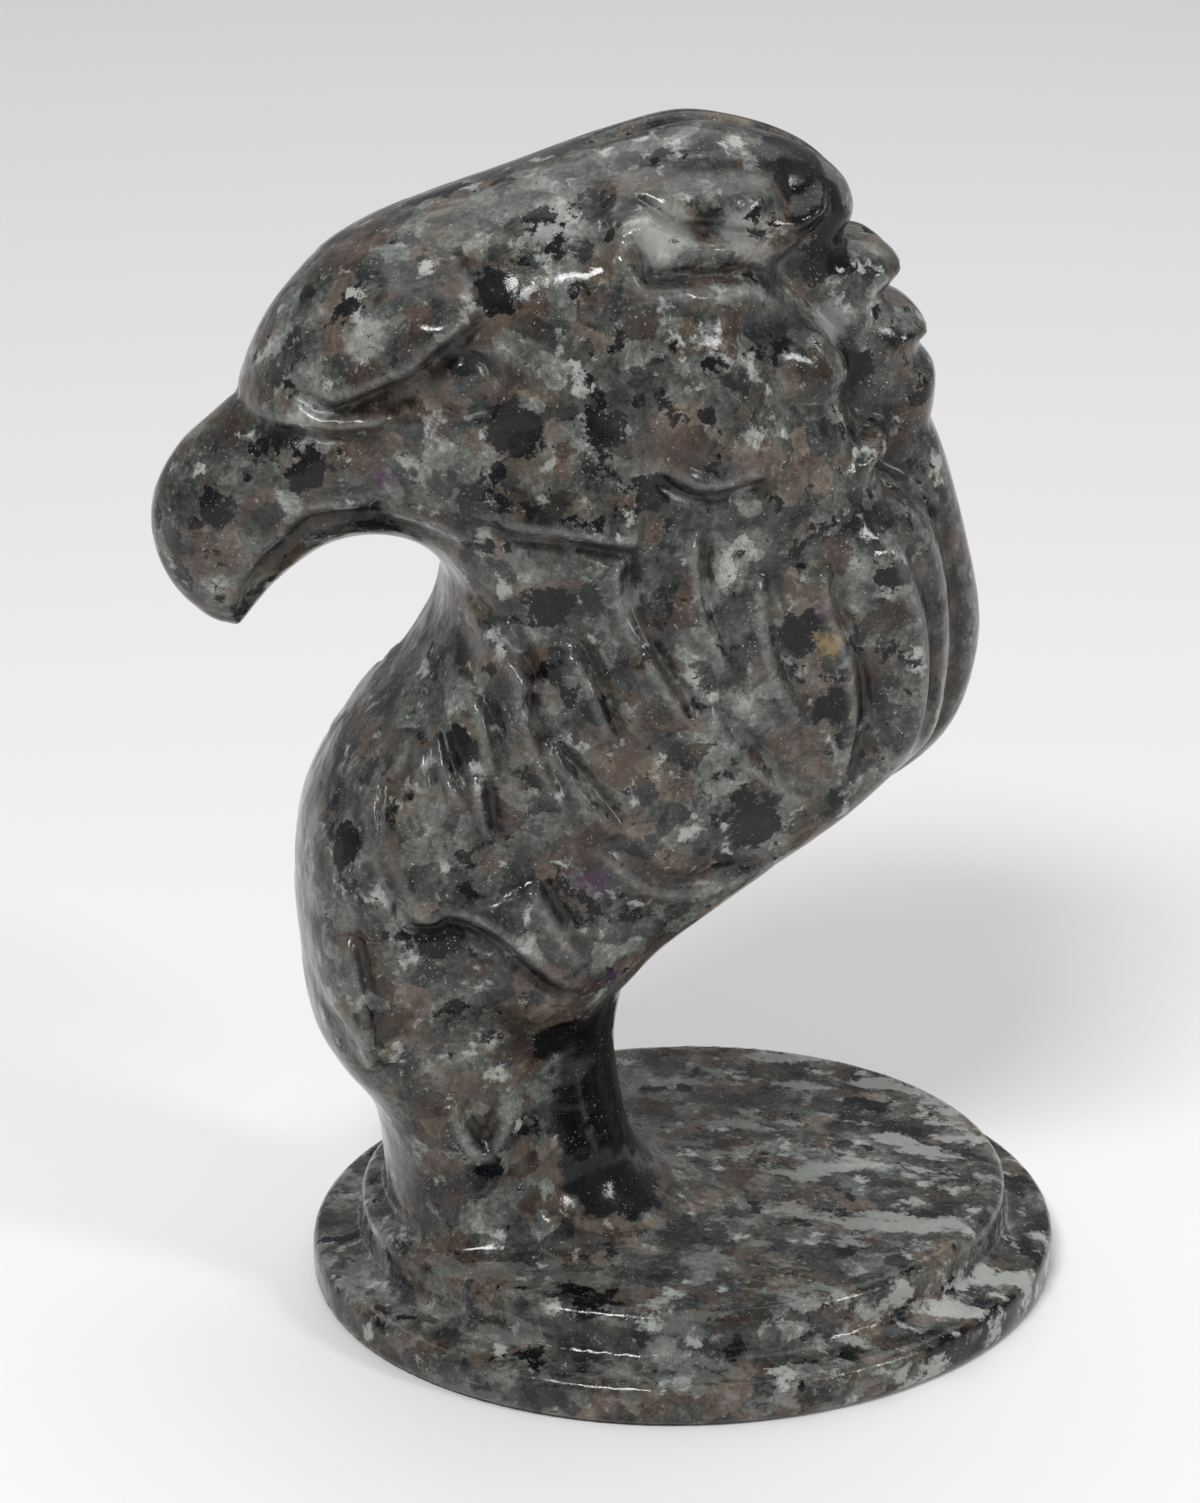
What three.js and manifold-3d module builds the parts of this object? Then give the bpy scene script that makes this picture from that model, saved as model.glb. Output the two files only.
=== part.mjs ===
// Eagle head with a feathered neck, carved with its oval plinth from one block of polished stone.
// Millimetres, +Z up. The origin is the centre of the plinth's underside, and the beak points to -X.
import * as THREE from "three";
import { mergeVertices } from "three/addons/utils/BufferGeometryUtils.js";
import Module from "manifold-3d";

// Plinth sizes
const plinth_length = 71;
const plinth_depth = 64;
const plinth_height = 8.6;
const lower_tier_height = 4;
const tier_setback = 4.7;
const underside_rounding = 0.8;
const lower_rounding = 1.1;
const upper_rounding = 1;
const cove_rise = 1.1;
const cove_width = 3.4;
const cove_step = 0.2;
const plinth_sides = 64;

// Figure sizes. The height is from the plinth's top to the crown.
const figure_height = 101.8;
const foot_setback = 1.2;
const foot_fillet = 9;
const least_fillet = 1.4;
const foot_depth_in_plinth = 3;
const fillet_feather = 0.35;
const edge_clearance = 0.5;
const parting_width = 1.1;
const parting_depth = 1.4;

// The figure is drawn in mm with the plinth's top at this level and the foot's front at this x.
const drawn_top_of_plinth = 12.1;
const drawn_foot_front = -29.6;

// Mesh sizes on the drawing, and how many triangles the figure keeps
const cell = 1.1;
const figure_triangles = 8700;
const settle_reach = 0.4;
const slope_step = 0.05;
const least_slope = 0.3;
const point_grid = 0.001;

const stone = new THREE.MeshStandardMaterial({ color: "#6b6c67", roughness: 0.18, metalness: 0 });

// Outline of the whole figure, side view, as curves that meet at corners: x and z on the drawing.
const chest_and_jaw = [
  [-28.4, 8], [-28.5, 17], [-29.8, 23.5], [-33.2, 28.5], [-35.1, 33], [-35.8, 41], [-35.8, 48], [-34.3, 54],
  [-30.1, 60.5], [-24.7, 66.6], [-22.1, 71.3], [-22.4, 75.2], [-25, 77.9], [-29, 78.8], [-33, 78], [-37, 75],
  [-40.7, 70.7],
];
const beak_ridge = [
  [-40.7, 70.7], [-43.3, 71.8], [-46.1, 75], [-47.5, 79], [-47.2, 83], [-45, 86.8], [-42.2, 89.2],
  [-39.7, 91.2],
];
const crown = [
  [-39.7, 91.2], [-38.6, 94.8], [-36, 99.2], [-31.2, 103.7], [-24.6, 107], [-15.8, 109.8], [-8, 112.3],
  [-1, 113.9], [4.5, 113.3], [9.4, 111.5], [12.8, 108.8], [13.8, 106], [12.8, 103.7],
];
const crest_lobes = [
  [[12.8, 103.7], [15.9, 103.2], [18.2, 100.8], [16.6, 98.3]],
  [[16.6, 98.3], [19.3, 97.1], [20.8, 95], [19.9, 93.6]],
  [[19.9, 93.6], [21.5, 91.6], [21.6, 88.8], [21.3, 87]],
];
const nape = [
  [21.3, 87], [22.9, 83], [24.8, 76.5], [26.3, 70], [26.5, 65.5], [25.3, 60], [22.7, 55.8], [17.7, 52.2],
  [9.5, 48.6], [2.5, 44.2], [-3, 39.7], [-6.6, 34.6],
];
const column_back = [[-6.6, 34.6], [-7.3, 30], [-7.2, 26], [-6.4, 21], [-5.6, 15], [-5.6, 8]];

// Rear edge of the head's and neck's side layer, which leaves the narrower crest and nape standing behind it.
const side_layer_edge = [
  [[-8, 112.3], [-1, 113.9], [4, 113], [7, 111.4], [7.4, 109.6]],
  [[7.4, 109.6], [10.2, 109.6], [11, 107], [9.4, 104.8], [6.4, 102.2]],
  [[6.4, 102.2], [8.6, 99.4], [11.7, 95.6], [12.6, 93.4], [12.2, 91.2], [13, 89.2]],
  [[13, 89.2], [15.3, 88.6], [16.3, 86.4], [15.4, 84.4]],
  [[15.4, 84.4], [18, 82.9], [20.4, 79.6], [21.9, 75], [22.6, 69.6], [22.4, 64.4], [21, 58.8], [16.6, 54.4]],
  [[16.6, 54.4], [13, 51.2], [9.5, 48.6]],
];

// Half thickness of the side layer, and how far in from the outline the rounding runs: x, z, half, rounding.
const stations = [
  [-41, 72, 2.4, 3], [-45, 80, 4.6, 4.6], [-40, 86, 6.8, 6.4], [-33, 80, 6.6, 4], [-33, 87, 9.4, 8],
  [-35, 97, 10.8, 10], [-26, 98, 13.6, 12], [-21, 91, 14.2, 12], [-12, 84, 16.6, 12], [-10, 104, 14.8, 13],
  [1, 108, 12, 10], [-2, 93, 17.2, 13], [8, 104, 10.6, 3.6], [9, 97, 13, 3.4], [13, 88, 13.6, 4],
  [4, 84, 16.8, 10], [18, 74, 14, 5], [-18, 72, 13.4, 8], [-2, 70, 17.2, 12], [10, 76, 16, 9],
  [14, 60, 14.6, 7], [-5, 55, 16.4, 12], [2, 47, 13.5, 6], [-25, 58, 13, 8], [-28, 46, 13, 7.5],
  [-15, 42, 14.4, 10], [-22, 30, 11.6, 7], [-12, 28, 8.6, 6], [-21, 18, 11.4, 6.5], [-10, 18, 7.6, 5],
];
const station_reach = 5.5;
const section_power = 2.35;
const least_half = 1.5;
const centre_softening = 0.01;

// A groove between the two tufts on the crown starts at this x and z, and deepens over the ramp's length.
const parting_start = [-10, 101];
const parting_ramp = 4;

// The narrow layer behind and under the side layer
const crest_half = 7.4;
const crest_share = 0.8;
const crest_rounding = 4;
const layer_blend = 0.9;

// Swellings and hollows on each side: place, reach along x and z, and rise
const swellings = [
  [-27, 101, 6, 3, 1.7], [-29, 93.6, 4.6, 1.7, -1.3], [-13, 94, 5, 6, 0.4], [-37.5, 78.2, 4, 2.4, -0.7],
];

// Round eye, standing a little proud
const eye_place = [-22.4, 95.2];
const eye_radius = 2.6;
const eye_rise = 0.9;

// Edges that stand proud on the right of their direction: width of the step, fade, rise and points. Each has
// a groove along its foot, and grows out of the side and back into it over these shares of its length.
const edge_groove = 0.3;
const edge_start_share = 0.12;
const edge_end_share = 0.35;
const raised_edges = [
  [0.85, 5, 1.2, [[-27.5, 91.2], [-31.9, 90.9], [-36.6, 91], [-38.7, 91], [-40, 93]]],
  [1.2, 5, 1.9, [[-19.5, 102.2], [-23.7, 99.5], [-26.5, 96.7], [-29, 95.2], [-32.7, 93.6], [-36.5, 95.6]]],
  [0.8, 5, 1.4, [[-29, 83], [-33.1, 83.2], [-35.4, 82.4], [-39.1, 78.1], [-40.2, 75.7], [-41.4, 71.6]]],
  [0.85, 3, 1.3, [[-7, 80.7], [-10.7, 81.3], [-15.2, 82.2], [-18.7, 82.4], [-22.4, 84.2]]],
  [0.85, 2.4, 1, [[4, 87], [0.9, 86], [-2.9, 85.6], [-7, 88]]],
  [0.85, 2.4, 1.2, [[-10.6, 107], [-8.9, 109.7], [-6, 110.7], [2.2, 110.2], [6.5, 109.6]]],
  [0.85, 2.2, 1.5, [[-10.8, 104.4], [-9.3, 107.3], [-7.2, 108.3], [-4.2, 106.7], [3.1, 105.4], [8, 104.6]]],
  [0.85, 2.6, 1.2, [[-9.2, 106.6], [-7.4, 103.5], [-4.5, 103], [1.8, 102.4], [6.6, 100]]],
  [1.2, 2.8, 0.9, [[-21.9, 73], [-26, 64.7], [-30, 60.9], [-31.5, 56]]],
  [1.2, 2.8, 1, [[-22, 72.5], [-25.3, 65.8], [-28.8, 59.7], [-30.4, 53.7], [-29, 46]]],
  [1.4, 3.4, 1.1, [[-22.6, 74.5], [-22.2, 68.5], [-20.8, 63.8], [-19.4, 57]]],
  [1.4, 3.4, 1.3, [[-19.4, 74.6], [-16.6, 68.4], [-15.2, 61.8], [-12, 55.8]]],
  [1.4, 3.4, 1.1, [[-12.8, 73], [-10.2, 66.5], [-8, 59]]],
  [1.4, 3.4, 1, [[-6.2, 77], [-4.4, 69], [-1.4, 62.6]]],
  [1.4, 3.4, 1, [[1, 80], [2.4, 72], [5.6, 64]]],
  [1.4, 3.4, 1.1, [[8.4, 79], [9.4, 74], [11.8, 66], [10.5, 56.4]]],
  [1.4, 3.4, 1.1, [[14.6, 81], [17.2, 74], [18.2, 65], [16.4, 57]]],
  [0.9, 4, 1.3, [[-12, 38.6], [-17.9, 42.2], [-20.6, 45.2], [-24.5, 46.6], [-28.4, 48.2], [-30.9, 58]]],
  [0.9, 2.4, 1, [[-31.5, 30], [-34.5, 37.2], [-35.8, 44], [-34.6, 48.6], [-35.2, 56]]],
  [0.9, 2.4, 0.9, [[-33.2, 48], [-32.2, 40.7], [-31, 31]]],
  [0.9, 2.2, 1, [[-24, 29], [-23, 25], [-21.2, 22.4], [-19.6, 24.6], [-18.8, 28]]],
];

const curve_steps = 4;

function curve(points, steps) {
  const spline = new THREE.SplineCurve(points.map(([x, z]) => new THREE.Vector2(x, z)));
  return spline.getPoints(steps * (points.length - 1)).map((p) => [p.x, p.y]);
}

// One closed outline of curves that meet end to start
function joined(curves) {
  return curves.flatMap((points) => curve(points, curve_steps).slice(0, -1));
}

const foot_close = [column_back.at(-1), chest_and_jaw[0]];
const whole_outline = joined([
  chest_and_jaw, beak_ridge, crown, ...crest_lobes, nape, column_back, foot_close,
]);
const crown_front = crown.slice(0, 7);
const nape_front = nape.slice(8);
const side_outline = joined([
  chest_and_jaw, beak_ridge, crown_front, ...side_layer_edge, nape_front, column_back, foot_close,
]);
const drawn_crown = Math.max(...crown.map(([, z]) => z));
const scale = figure_height / (drawn_crown - drawn_top_of_plinth);

// The share of the way along a straight stretch at which it comes nearest to a place
function nearest_share(x, z, [ax, az], [bx, bz]) {
  const along_x = bx - ax;
  const along_z = bz - az;
  const share = ((x - ax) * along_x + (z - az) * along_z) / (along_x ** 2 + along_z ** 2);
  return Math.min(1, Math.max(0, share));
}

function distance_to_stretch(x, z, start, end) {
  const t = nearest_share(x, z, start, end);
  return Math.hypot(x - start[0] - t * (end[0] - start[0]), z - start[1] - t * (end[1] - start[1]));
}

// Distance from a line, minus on the left of its direction, and how far along it the nearest place is
function from_line(x, z, line) {
  let away = Infinity;
  let side = 1;
  let along = 0;
  for (let i = 1; i < line.length; i++) {
    const [start, end] = [line[i - 1], line[i]];
    const distance = distance_to_stretch(x, z, start, end);
    if (distance >= away) continue;
    away = distance;
    side = (x - start[0]) * (end[1] - start[1]) - (z - start[1]) * (end[0] - start[0]) < 0 ? -1 : 1;
    along = (i - 1 + nearest_share(x, z, start, end)) / (line.length - 1);
  }
  return [away * side, along];
}

// Distance to a closed outline, negative inside it
function inside_distance(x, z, outline) {
  let nearest = Infinity;
  let inside = false;
  outline.forEach((end, i) => {
    const start = outline[(i + outline.length - 1) % outline.length];
    nearest = Math.min(nearest, distance_to_stretch(x, z, start, end));
    const crosses = (start[1] > z) !== (end[1] > z);
    const cross_x = start[0] + ((z - start[1]) * (end[0] - start[0])) / (end[1] - start[1]);
    if (crosses && x < cross_x) inside = !inside;
  });
  return inside ? -nearest : nearest;
}

function thickness_at(x, z) {
  let total = 0;
  let half = 0;
  let rounding = 0;
  for (const [sx, sz, station_half, station_rounding] of stations) {
    const away = ((x - sx) ** 2 + (z - sz) ** 2) / station_reach ** 2;
    const weight = 1 / (1 + away * away);
    total += weight;
    half += weight * station_half;
    rounding += weight * station_rounding;
  }
  return [half / total, rounding / total];
}

const edge_curves = raised_edges.map(([width, fade, rise, points]) => [
  width, fade, rise, curve(points, curve_steps),
]);

// How much the carving raises or lowers the side at a place on the drawing
function relief(x, z) {
  let rise = 0;
  for (const [sx, sz, reach_x, reach_z, height] of swellings) {
    rise += height * Math.exp(-(((x - sx) / reach_x) ** 2) - ((z - sz) / reach_z) ** 2);
  }
  for (const [width, fade, height, line] of edge_curves) {
    const [away, along] = from_line(x, z, line);
    const ends = Math.sqrt(Math.min(1, along / edge_start_share, (1 - along) / edge_end_share));
    const step = 0.5 + 0.5 * Math.tanh(away / width);
    const groove = Math.exp(-((away / width + 1) ** 2));
    rise += height * ends * (step * Math.exp(-Math.max(away, 0) / fade) - edge_groove * groove);
  }
  const from_eye = Math.hypot(x - eye_place[0], z - eye_place[1]);
  return rise + eye_rise * Math.exp(-((from_eye / eye_radius) ** 4));
}

// One layer: an outline given a thickness, with its edge rounded. Negative inside, roughly in mm.
function layer(side, y, half, rounding) {
  const u = Math.abs(y) / half;
  const v = Math.max(0, 1 + side / rounding);
  const size = (u ** section_power + v ** section_power) ** (1 / section_power);
  const reach =
    (half * u * u + rounding * v * v + centre_softening) / (u * u + v * v + centre_softening);
  return (size - 1) * reach;
}

function soft_join(a, b, blend) {
  const h = Math.max(blend - Math.abs(a - b), 0) / blend;
  return Math.min(a, b) - (h * h * blend) / 4;
}

// What the drawing says at one place of the side view, kept until another place is asked for
const section = { x: NaN, z: NaN };

function section_at(x, z) {
  if (section.x === x && section.z === z) return section;
  const [half, rounding] = thickness_at(x, z);
  section.x = x;
  section.z = z;
  section.side = inside_distance(x, z, side_outline);
  section.whole = inside_distance(x, z, whole_outline);
  section.half = half;
  section.rounding = rounding;
  section.carved = Math.max(least_half, half + relief(x, z));
  return section;
}

// The figure's field on the drawing, negative inside the stone
function figure_field(x, y, z) {
  const { side, whole, half, rounding, carved } = section_at(x, z);
  const outer = layer(side, y, carved, rounding);
  const crest = layer(whole, y, Math.min(crest_half, half * crest_share), crest_rounding);
  const behind = Math.min(1, Math.max(0, (x - parting_start[0]) / parting_ramp));
  const above = Math.min(1, Math.max(0, (z - parting_start[1]) / parting_ramp));
  const parting = parting_depth * behind * above * Math.exp(-((y / parting_width) ** 2));
  return soft_join(outer, crest, layer_blend) + parting;
}

// The upper tier's half sizes, which the foot stays inside
const upper_half_length = plinth_length / 2 - tier_setback;
const upper_half_depth = plinth_depth / 2 - tier_setback;
const foot_front = -(upper_half_length - foot_setback);

// The figure where it stands, with its foot flared into the plinth's top and ending inside the plinth
function standing_field({ x, y, z }) {
  const drawn_x = drawn_foot_front + (x - foot_front) / scale;
  const drawn_z = drawn_top_of_plinth + (z - plinth_height) / scale;
  const body = figure_field(drawn_x, y / scale, drawn_z) * scale;
  const oval = Math.hypot(x / (upper_half_length - upper_rounding), y / (upper_half_depth - upper_rounding));
  const past_edge = (oval - 1) * upper_half_depth;
  const slab = z - plinth_height + fillet_feather;
  const flared = soft_join(body, slab, Math.min(foot_fillet, Math.max(least_fillet, -past_edge)));
  const sunk = plinth_height - foot_depth_in_plinth - z;
  return Math.max(flared, sunk, Math.min(past_edge, plinth_height + edge_clearance - z));
}

function grid_lines(start, end) {
  const step = cell * scale;
  return Array.from({ length: Math.ceil((end - start) / step) + 1 }, (_, i) => start + i * step);
}

// Moves a point along the field's slope until it lies on the surface
function settle(field, start) {
  const axes = [0, 1, 2].map((axis) => new THREE.Vector3().setComponent(axis, slope_step));
  const point = start.clone();
  for (let turn = 0; turn < 2; turn++) {
    const value = field(point);
    const slope = new THREE.Vector3(...axes.map((step) =>
      (field(point.clone().add(step)) - field(point.clone().sub(step))) / (2 * slope_step)));
    point.addScaledVector(slope, -value / Math.max(least_slope, slope.lengthSq()));
  }
  return point.sub(start).clampLength(0, settle_reach * cell).add(start);
}

// Depth of stone given to a corner that is filled
const least_depth = 0.05;

// Where a grid square has stone at two opposite corners only, the surface would touch itself along an edge.
// The weaker empty corner is filled there, until no such square is left.
function part_sheets(values, counts, index) {
  const axes = [[1, 0, 0], [0, 1, 0], [0, 0, 1]];
  let changed = true;
  while (changed) {
    changed = false;
    for (let i = 0; i < counts[0] - 1; i++) {
      for (let j = 0; j < counts[1] - 1; j++) {
        for (let k = 0; k < counts[2] - 1; k++) {
          for (let axis = 0; axis < 3; axis++) {
            const u = axes[(axis + 1) % 3];
            const v = axes[(axis + 2) % 3];
            const square = [[0, 0], [1, 0], [1, 1], [0, 1]].map(([a, b]) =>
              index(i + a * u[0] + b * v[0], j + a * u[1] + b * v[1], k + a * u[2] + b * v[2]));
            const [p, q, r, s] = square.map((at) => values[at] < 0);
            if (p !== r || q !== s || p === q) continue;
            const empty = p ? [square[1], square[3]] : [square[0], square[2]];
            const weaker = values[empty[0]] < values[empty[1]] ? empty[0] : empty[1];
            values[weaker] = -least_depth;
            changed = true;
          }
        }
      }
    }
  }
}

// A closed mesh of the surface where the field is zero: one point for each cell that it crosses
function skin(field, xs, ys, zs) {
  const counts = [xs.length, ys.length, zs.length];
  const index = (i, j, k) => (i * counts[1] + j) * counts[2] + k;
  const values = new Float64Array(counts[0] * counts[1] * counts[2]);
  xs.forEach((x, i) => zs.forEach((z, k) => ys.forEach((y, j) => {
    values[index(i, j, k)] = field({ x, y, z });
  })));
  part_sheets(values, counts, index);
  const corners = [0, 1, 2, 3, 4, 5, 6, 7].map((c) => [c & 1, (c >> 1) & 1, (c >> 2) & 1]);
  const edges = [];
  for (let a = 0; a < 8; a++) {
    for (const bit of [1, 2, 4]) {
      if (!(a & bit)) edges.push([a, a | bit]);
    }
  }
  const points = [];
  const point_of = new Map();
  for (let i = 0; i < counts[0] - 1; i++) {
    for (let j = 0; j < counts[1] - 1; j++) {
      for (let k = 0; k < counts[2] - 1; k++) {
        const at = corners.map(([a, b, c]) => [xs[i + a], ys[j + b], zs[k + c]]);
        const level = corners.map(([a, b, c]) => values[index(i + a, j + b, k + c)]);
        const sum = [0, 0, 0];
        let crossings = 0;
        for (const [a, b] of edges) {
          if ((level[a] < 0) === (level[b] < 0)) continue;
          const t = level[a] / (level[a] - level[b]);
          for (let axis = 0; axis < 3; axis++) sum[axis] += at[a][axis] + t * (at[b][axis] - at[a][axis]);
          crossings++;
        }
        if (!crossings) continue;
        point_of.set(index(i, j, k), points.length);
        points.push(settle(field, new THREE.Vector3(...sum).divideScalar(crossings)));
      }
    }
  }
  const faces = [];
  const add_quad = (a, b, c, d, flip) => {
    const [p, q, r, s] = flip ? [d, c, b, a] : [a, b, c, d];
    const across = points[p].distanceTo(points[r]) < points[q].distanceTo(points[s]);
    faces.push(...(across ? [[p, q, r], [p, r, s]] : [[q, r, s], [q, s, p]]));
  };
  const steps = [[1, 0, 0], [0, 1, 0], [0, 0, 1]];
  for (let i = 1; i < counts[0] - 1; i++) {
    for (let j = 1; j < counts[1] - 1; j++) {
      for (let k = 1; k < counts[2] - 1; k++) {
        const here = values[index(i, j, k)] < 0;
        for (let axis = 0; axis < 3; axis++) {
          const ahead = steps[axis];
          if (here === (values[index(i + ahead[0], j + ahead[1], k + ahead[2])] < 0)) continue;
          const u = steps[(axis + 1) % 3];
          const v = steps[(axis + 2) % 3];
          const around = [[0, 0], [1, 0], [1, 1], [0, 1]].map(([a, b]) =>
            point_of.get(index(i - a * u[0] - b * v[0], j - a * u[1] - b * v[1], k - a * u[2] - b * v[2])));
          add_quad(...around, !here);
        }
      }
    }
  }
  return { points, faces };
}

// A triangle's plane as a sum that gives its squared distance from any place, weighted by the triangle's area
function plane_sum(a, b, c) {
  const normal = b.clone().sub(a).cross(c.clone().sub(a));
  const area = normal.length();
  normal.normalize();
  const plane = [normal.x, normal.y, normal.z, -normal.dot(a)];
  return plane.flatMap((p, i) => plane.slice(i).map((q) => area * p * q));
}

function misfit(sum, { x, y, z }) {
  const [xx, xy, xz, x1, yy, yz, y1, zz, z1, rest] = sum;
  return xx * x * x + yy * y * y + zz * z * z + rest
    + 2 * (xy * x * y + xz * x * z + yz * y * z + x1 * x + y1 * y + z1 * z);
}

// How far a triangle may turn when one of its corners moves, as a cosine
const least_turn = 0.4;

// Cost of an edge's length when edges are chosen for thinning, which keeps the triangles even
const length_weight = 0.0004;

// True where the faces round a point keep their direction when it moves to a new place
function keeps_direction(points, faces, point, place) {
  return faces.every((face) => {
    const before = face.map((i) => points[i]);
    const after = face.map((i) => (i === point ? place : points[i]));
    const [old_normal, new_normal] = [before, after].map(([a, b, c]) =>
      b.clone().sub(a).cross(c.clone().sub(a)).normalize());
    return old_normal.dot(new_normal) > least_turn;
  });
}

// Thins a closed mesh to a number of triangles, by drawing in the edges that its shape needs least.
// Each pass works through the cheapest edges and leaves the neighbours of a change for the next pass.
function thin_out({ points, faces }, wanted) {
  const sums = points.map(() => new Array(10).fill(0));
  for (const face of faces) {
    const sum = plane_sum(...face.map((i) => points[i]));
    for (const i of face) sum.forEach((value, at) => (sums[i][at] += value));
  }
  const pass_share = 0.25;
  let kept = faces;
  while (kept.length > wanted) {
    const around = points.map(() => []);
    for (const face of kept) face.forEach((i) => around[i].push(face));
    const choices = [];
    for (const [a, b, c] of kept) {
      for (const [p, q] of [[a, b], [b, c], [c, a]]) {
        if (p > q) continue;
        const both = sums[p].map((value, at) => value + sums[q][at]);
        const middle = points[p].clone().lerp(points[q], 0.5);
        const places = [points[p], points[q], middle].map((place) => [misfit(both, place), place]);
        const [cost, place] = places.reduce((best, next) => (next[0] < best[0] ? next : best));
        const length = points[p].distanceTo(points[q]);
        choices.push({ p, q, both, place, cost: cost + length_weight * length ** 2 });
      }
    }
    choices.sort((one, other) => one.cost - other.cost);
    const busy = new Set();
    const dropped = new Set();
    const most = Math.min((kept.length - wanted) / 2, choices.length);
    let done = 0;
    for (const { p, q, both, place } of choices.slice(0, Math.ceil(choices.length * pass_share))) {
      if (done >= most) break;
      if (busy.has(p) || busy.has(q)) continue;
      const next_to_p = new Set(around[p].flat());
      const next_to_q = new Set(around[q].flat());
      const shared = [...next_to_p].filter((i) => next_to_q.has(i));
      const moving_p = around[p].filter((face) => !face.includes(q));
      const moving_q = around[q].filter((face) => !face.includes(p));
      if (shared.length !== 4) continue;
      if (!keeps_direction(points, moving_p, p, place)) continue;
      if (!keeps_direction(points, moving_q, q, place)) continue;
      for (const i of [...next_to_p, ...next_to_q]) busy.add(i);
      for (const face of around[p]) {
        if (face.includes(q)) dropped.add(face);
      }
      for (const face of moving_q) face[face.indexOf(q)] = p;
      points[p] = place;
      sums[p] = both;
      done++;
    }
    if (!done) break;
    kept = kept.filter((face) => !dropped.has(face));
  }
  const geometry = new THREE.BufferGeometry();
  geometry.setAttribute("position", new THREE.Float32BufferAttribute(points.flatMap((p) => p.toArray()), 3));
  geometry.setIndex(kept.flat());
  return geometry;
}

// Rounded corner of the plinth's profile: points on an arc, angles in degrees
function arc(centre_r, centre_z, radius, from, to, steps) {
  return Array.from({ length: steps + 1 }, (_, i) => {
    const angle = THREE.MathUtils.degToRad(from + ((to - from) * i) / steps);
    return new THREE.Vector2(centre_r + radius * Math.cos(angle), centre_z + radius * Math.sin(angle));
  });
}

// Two tiers with rounded edges and a cove between them, swept round and pressed to the oval
function plinth_geometry() {
  const outer = plinth_length / 2;
  const upper = upper_half_length;
  const cove = Array.from({ length: 4 }, (_, i) => {
    const angle = THREE.MathUtils.degToRad(90 - 90 * (i / 3));
    const r = upper + cove_step + cove_width * (1 - Math.cos(angle));
    return new THREE.Vector2(r, lower_tier_height + cove_rise * (1 - Math.sin(angle)));
  });
  const profile = [
    new THREE.Vector2(0, 0),
    ...arc(outer - underside_rounding, underside_rounding, underside_rounding, -90, 0, 3),
    ...arc(outer - lower_rounding, lower_tier_height - lower_rounding, lower_rounding, 0, 75, 3),
    ...cove,
    ...arc(upper - upper_rounding, plinth_height - upper_rounding, upper_rounding, 0, 90, 3),
    new THREE.Vector2(0, plinth_height),
  ];
  const geometry = new THREE.LatheGeometry(profile, plinth_sides);
  geometry.rotateX(Math.PI / 2);
  const narrowing = (plinth_length - plinth_depth) / 2;
  const places = geometry.attributes.position;
  for (let i = 0; i < places.count; i++) {
    const radius = Math.hypot(places.getX(i), places.getY(i));
    if (radius > narrowing) places.setY(i, (places.getY(i) * (radius - narrowing)) / radius);
  }
  return geometry;
}

const wasm = await Module();
wasm.setup();

// Merges shared points and drops the triangles that this leaves flat
function closed_mesh(geometry) {
  geometry.deleteAttribute("normal");
  geometry.deleteAttribute("uv");
  const places = geometry.attributes.position;
  for (let i = 0; i < places.array.length; i++) {
    places.array[i] = Math.round(places.array[i] / point_grid) * point_grid;
  }
  const merged = mergeVertices(geometry, point_grid / 10);
  const corners = Array.from(merged.index.array);
  const kept = [];
  for (let i = 0; i < corners.length; i += 3) {
    const [a, b, c] = corners.slice(i, i + 3);
    if (a !== b && b !== c && c !== a) kept.push(a, b, c);
  }
  merged.setIndex(kept);
  return merged;
}

function solid(geometry) {
  const mesh = closed_mesh(geometry);
  const vertProperties = new Float32Array(mesh.attributes.position.array);
  const triVerts = new Uint32Array(mesh.index.array);
  return new wasm.Manifold(new wasm.Mesh({ numProp: 3, vertProperties, triVerts }));
}

function as_geometry(manifold) {
  const mesh = manifold.getMesh();
  const geometry = new THREE.BufferGeometry();
  geometry.setAttribute("position", new THREE.BufferAttribute(mesh.vertProperties, 3));
  geometry.setIndex(new THREE.BufferAttribute(mesh.triVerts, 1));
  const closed = closed_mesh(geometry);
  closed.computeVertexNormals();
  return closed;
}

// The grid reaches two cells past the figure and the flared foot on every side
const margin = 2 * cell * scale;
const drawn_x_of = whole_outline.map(([x]) => x);
const place_x = (drawn_x) => foot_front + (drawn_x - drawn_foot_front) * scale;
const most_rise = Math.max(...raised_edges.map(([, , rise]) => rise));
const widest_half = Math.max(...stations.map(([, , half]) => half)) + most_rise;
const y_reach = Math.max(widest_half * scale, upper_half_depth) + margin;
const xs = grid_lines(
  Math.min(place_x(Math.min(...drawn_x_of)), -upper_half_length) - margin,
  Math.max(place_x(Math.max(...drawn_x_of)), upper_half_length) + margin,
);
const ys = grid_lines(-y_reach, y_reach);
const zs = grid_lines(plinth_height - foot_depth_in_plinth - margin, plinth_height + figure_height + margin);
const figure = solid(thin_out(skin(standing_field, xs, ys, zs), figure_triangles));
const plinth = solid(plinth_geometry());
const carving = new THREE.Mesh(as_geometry(figure.add(plinth)), stone);
carving.name = "eagle_head_carving";

const model = new THREE.Group();
model.add(carving);
export default model;
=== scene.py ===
import math

import bpy
import numpy as np
from mathutils import Matrix, Vector


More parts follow.
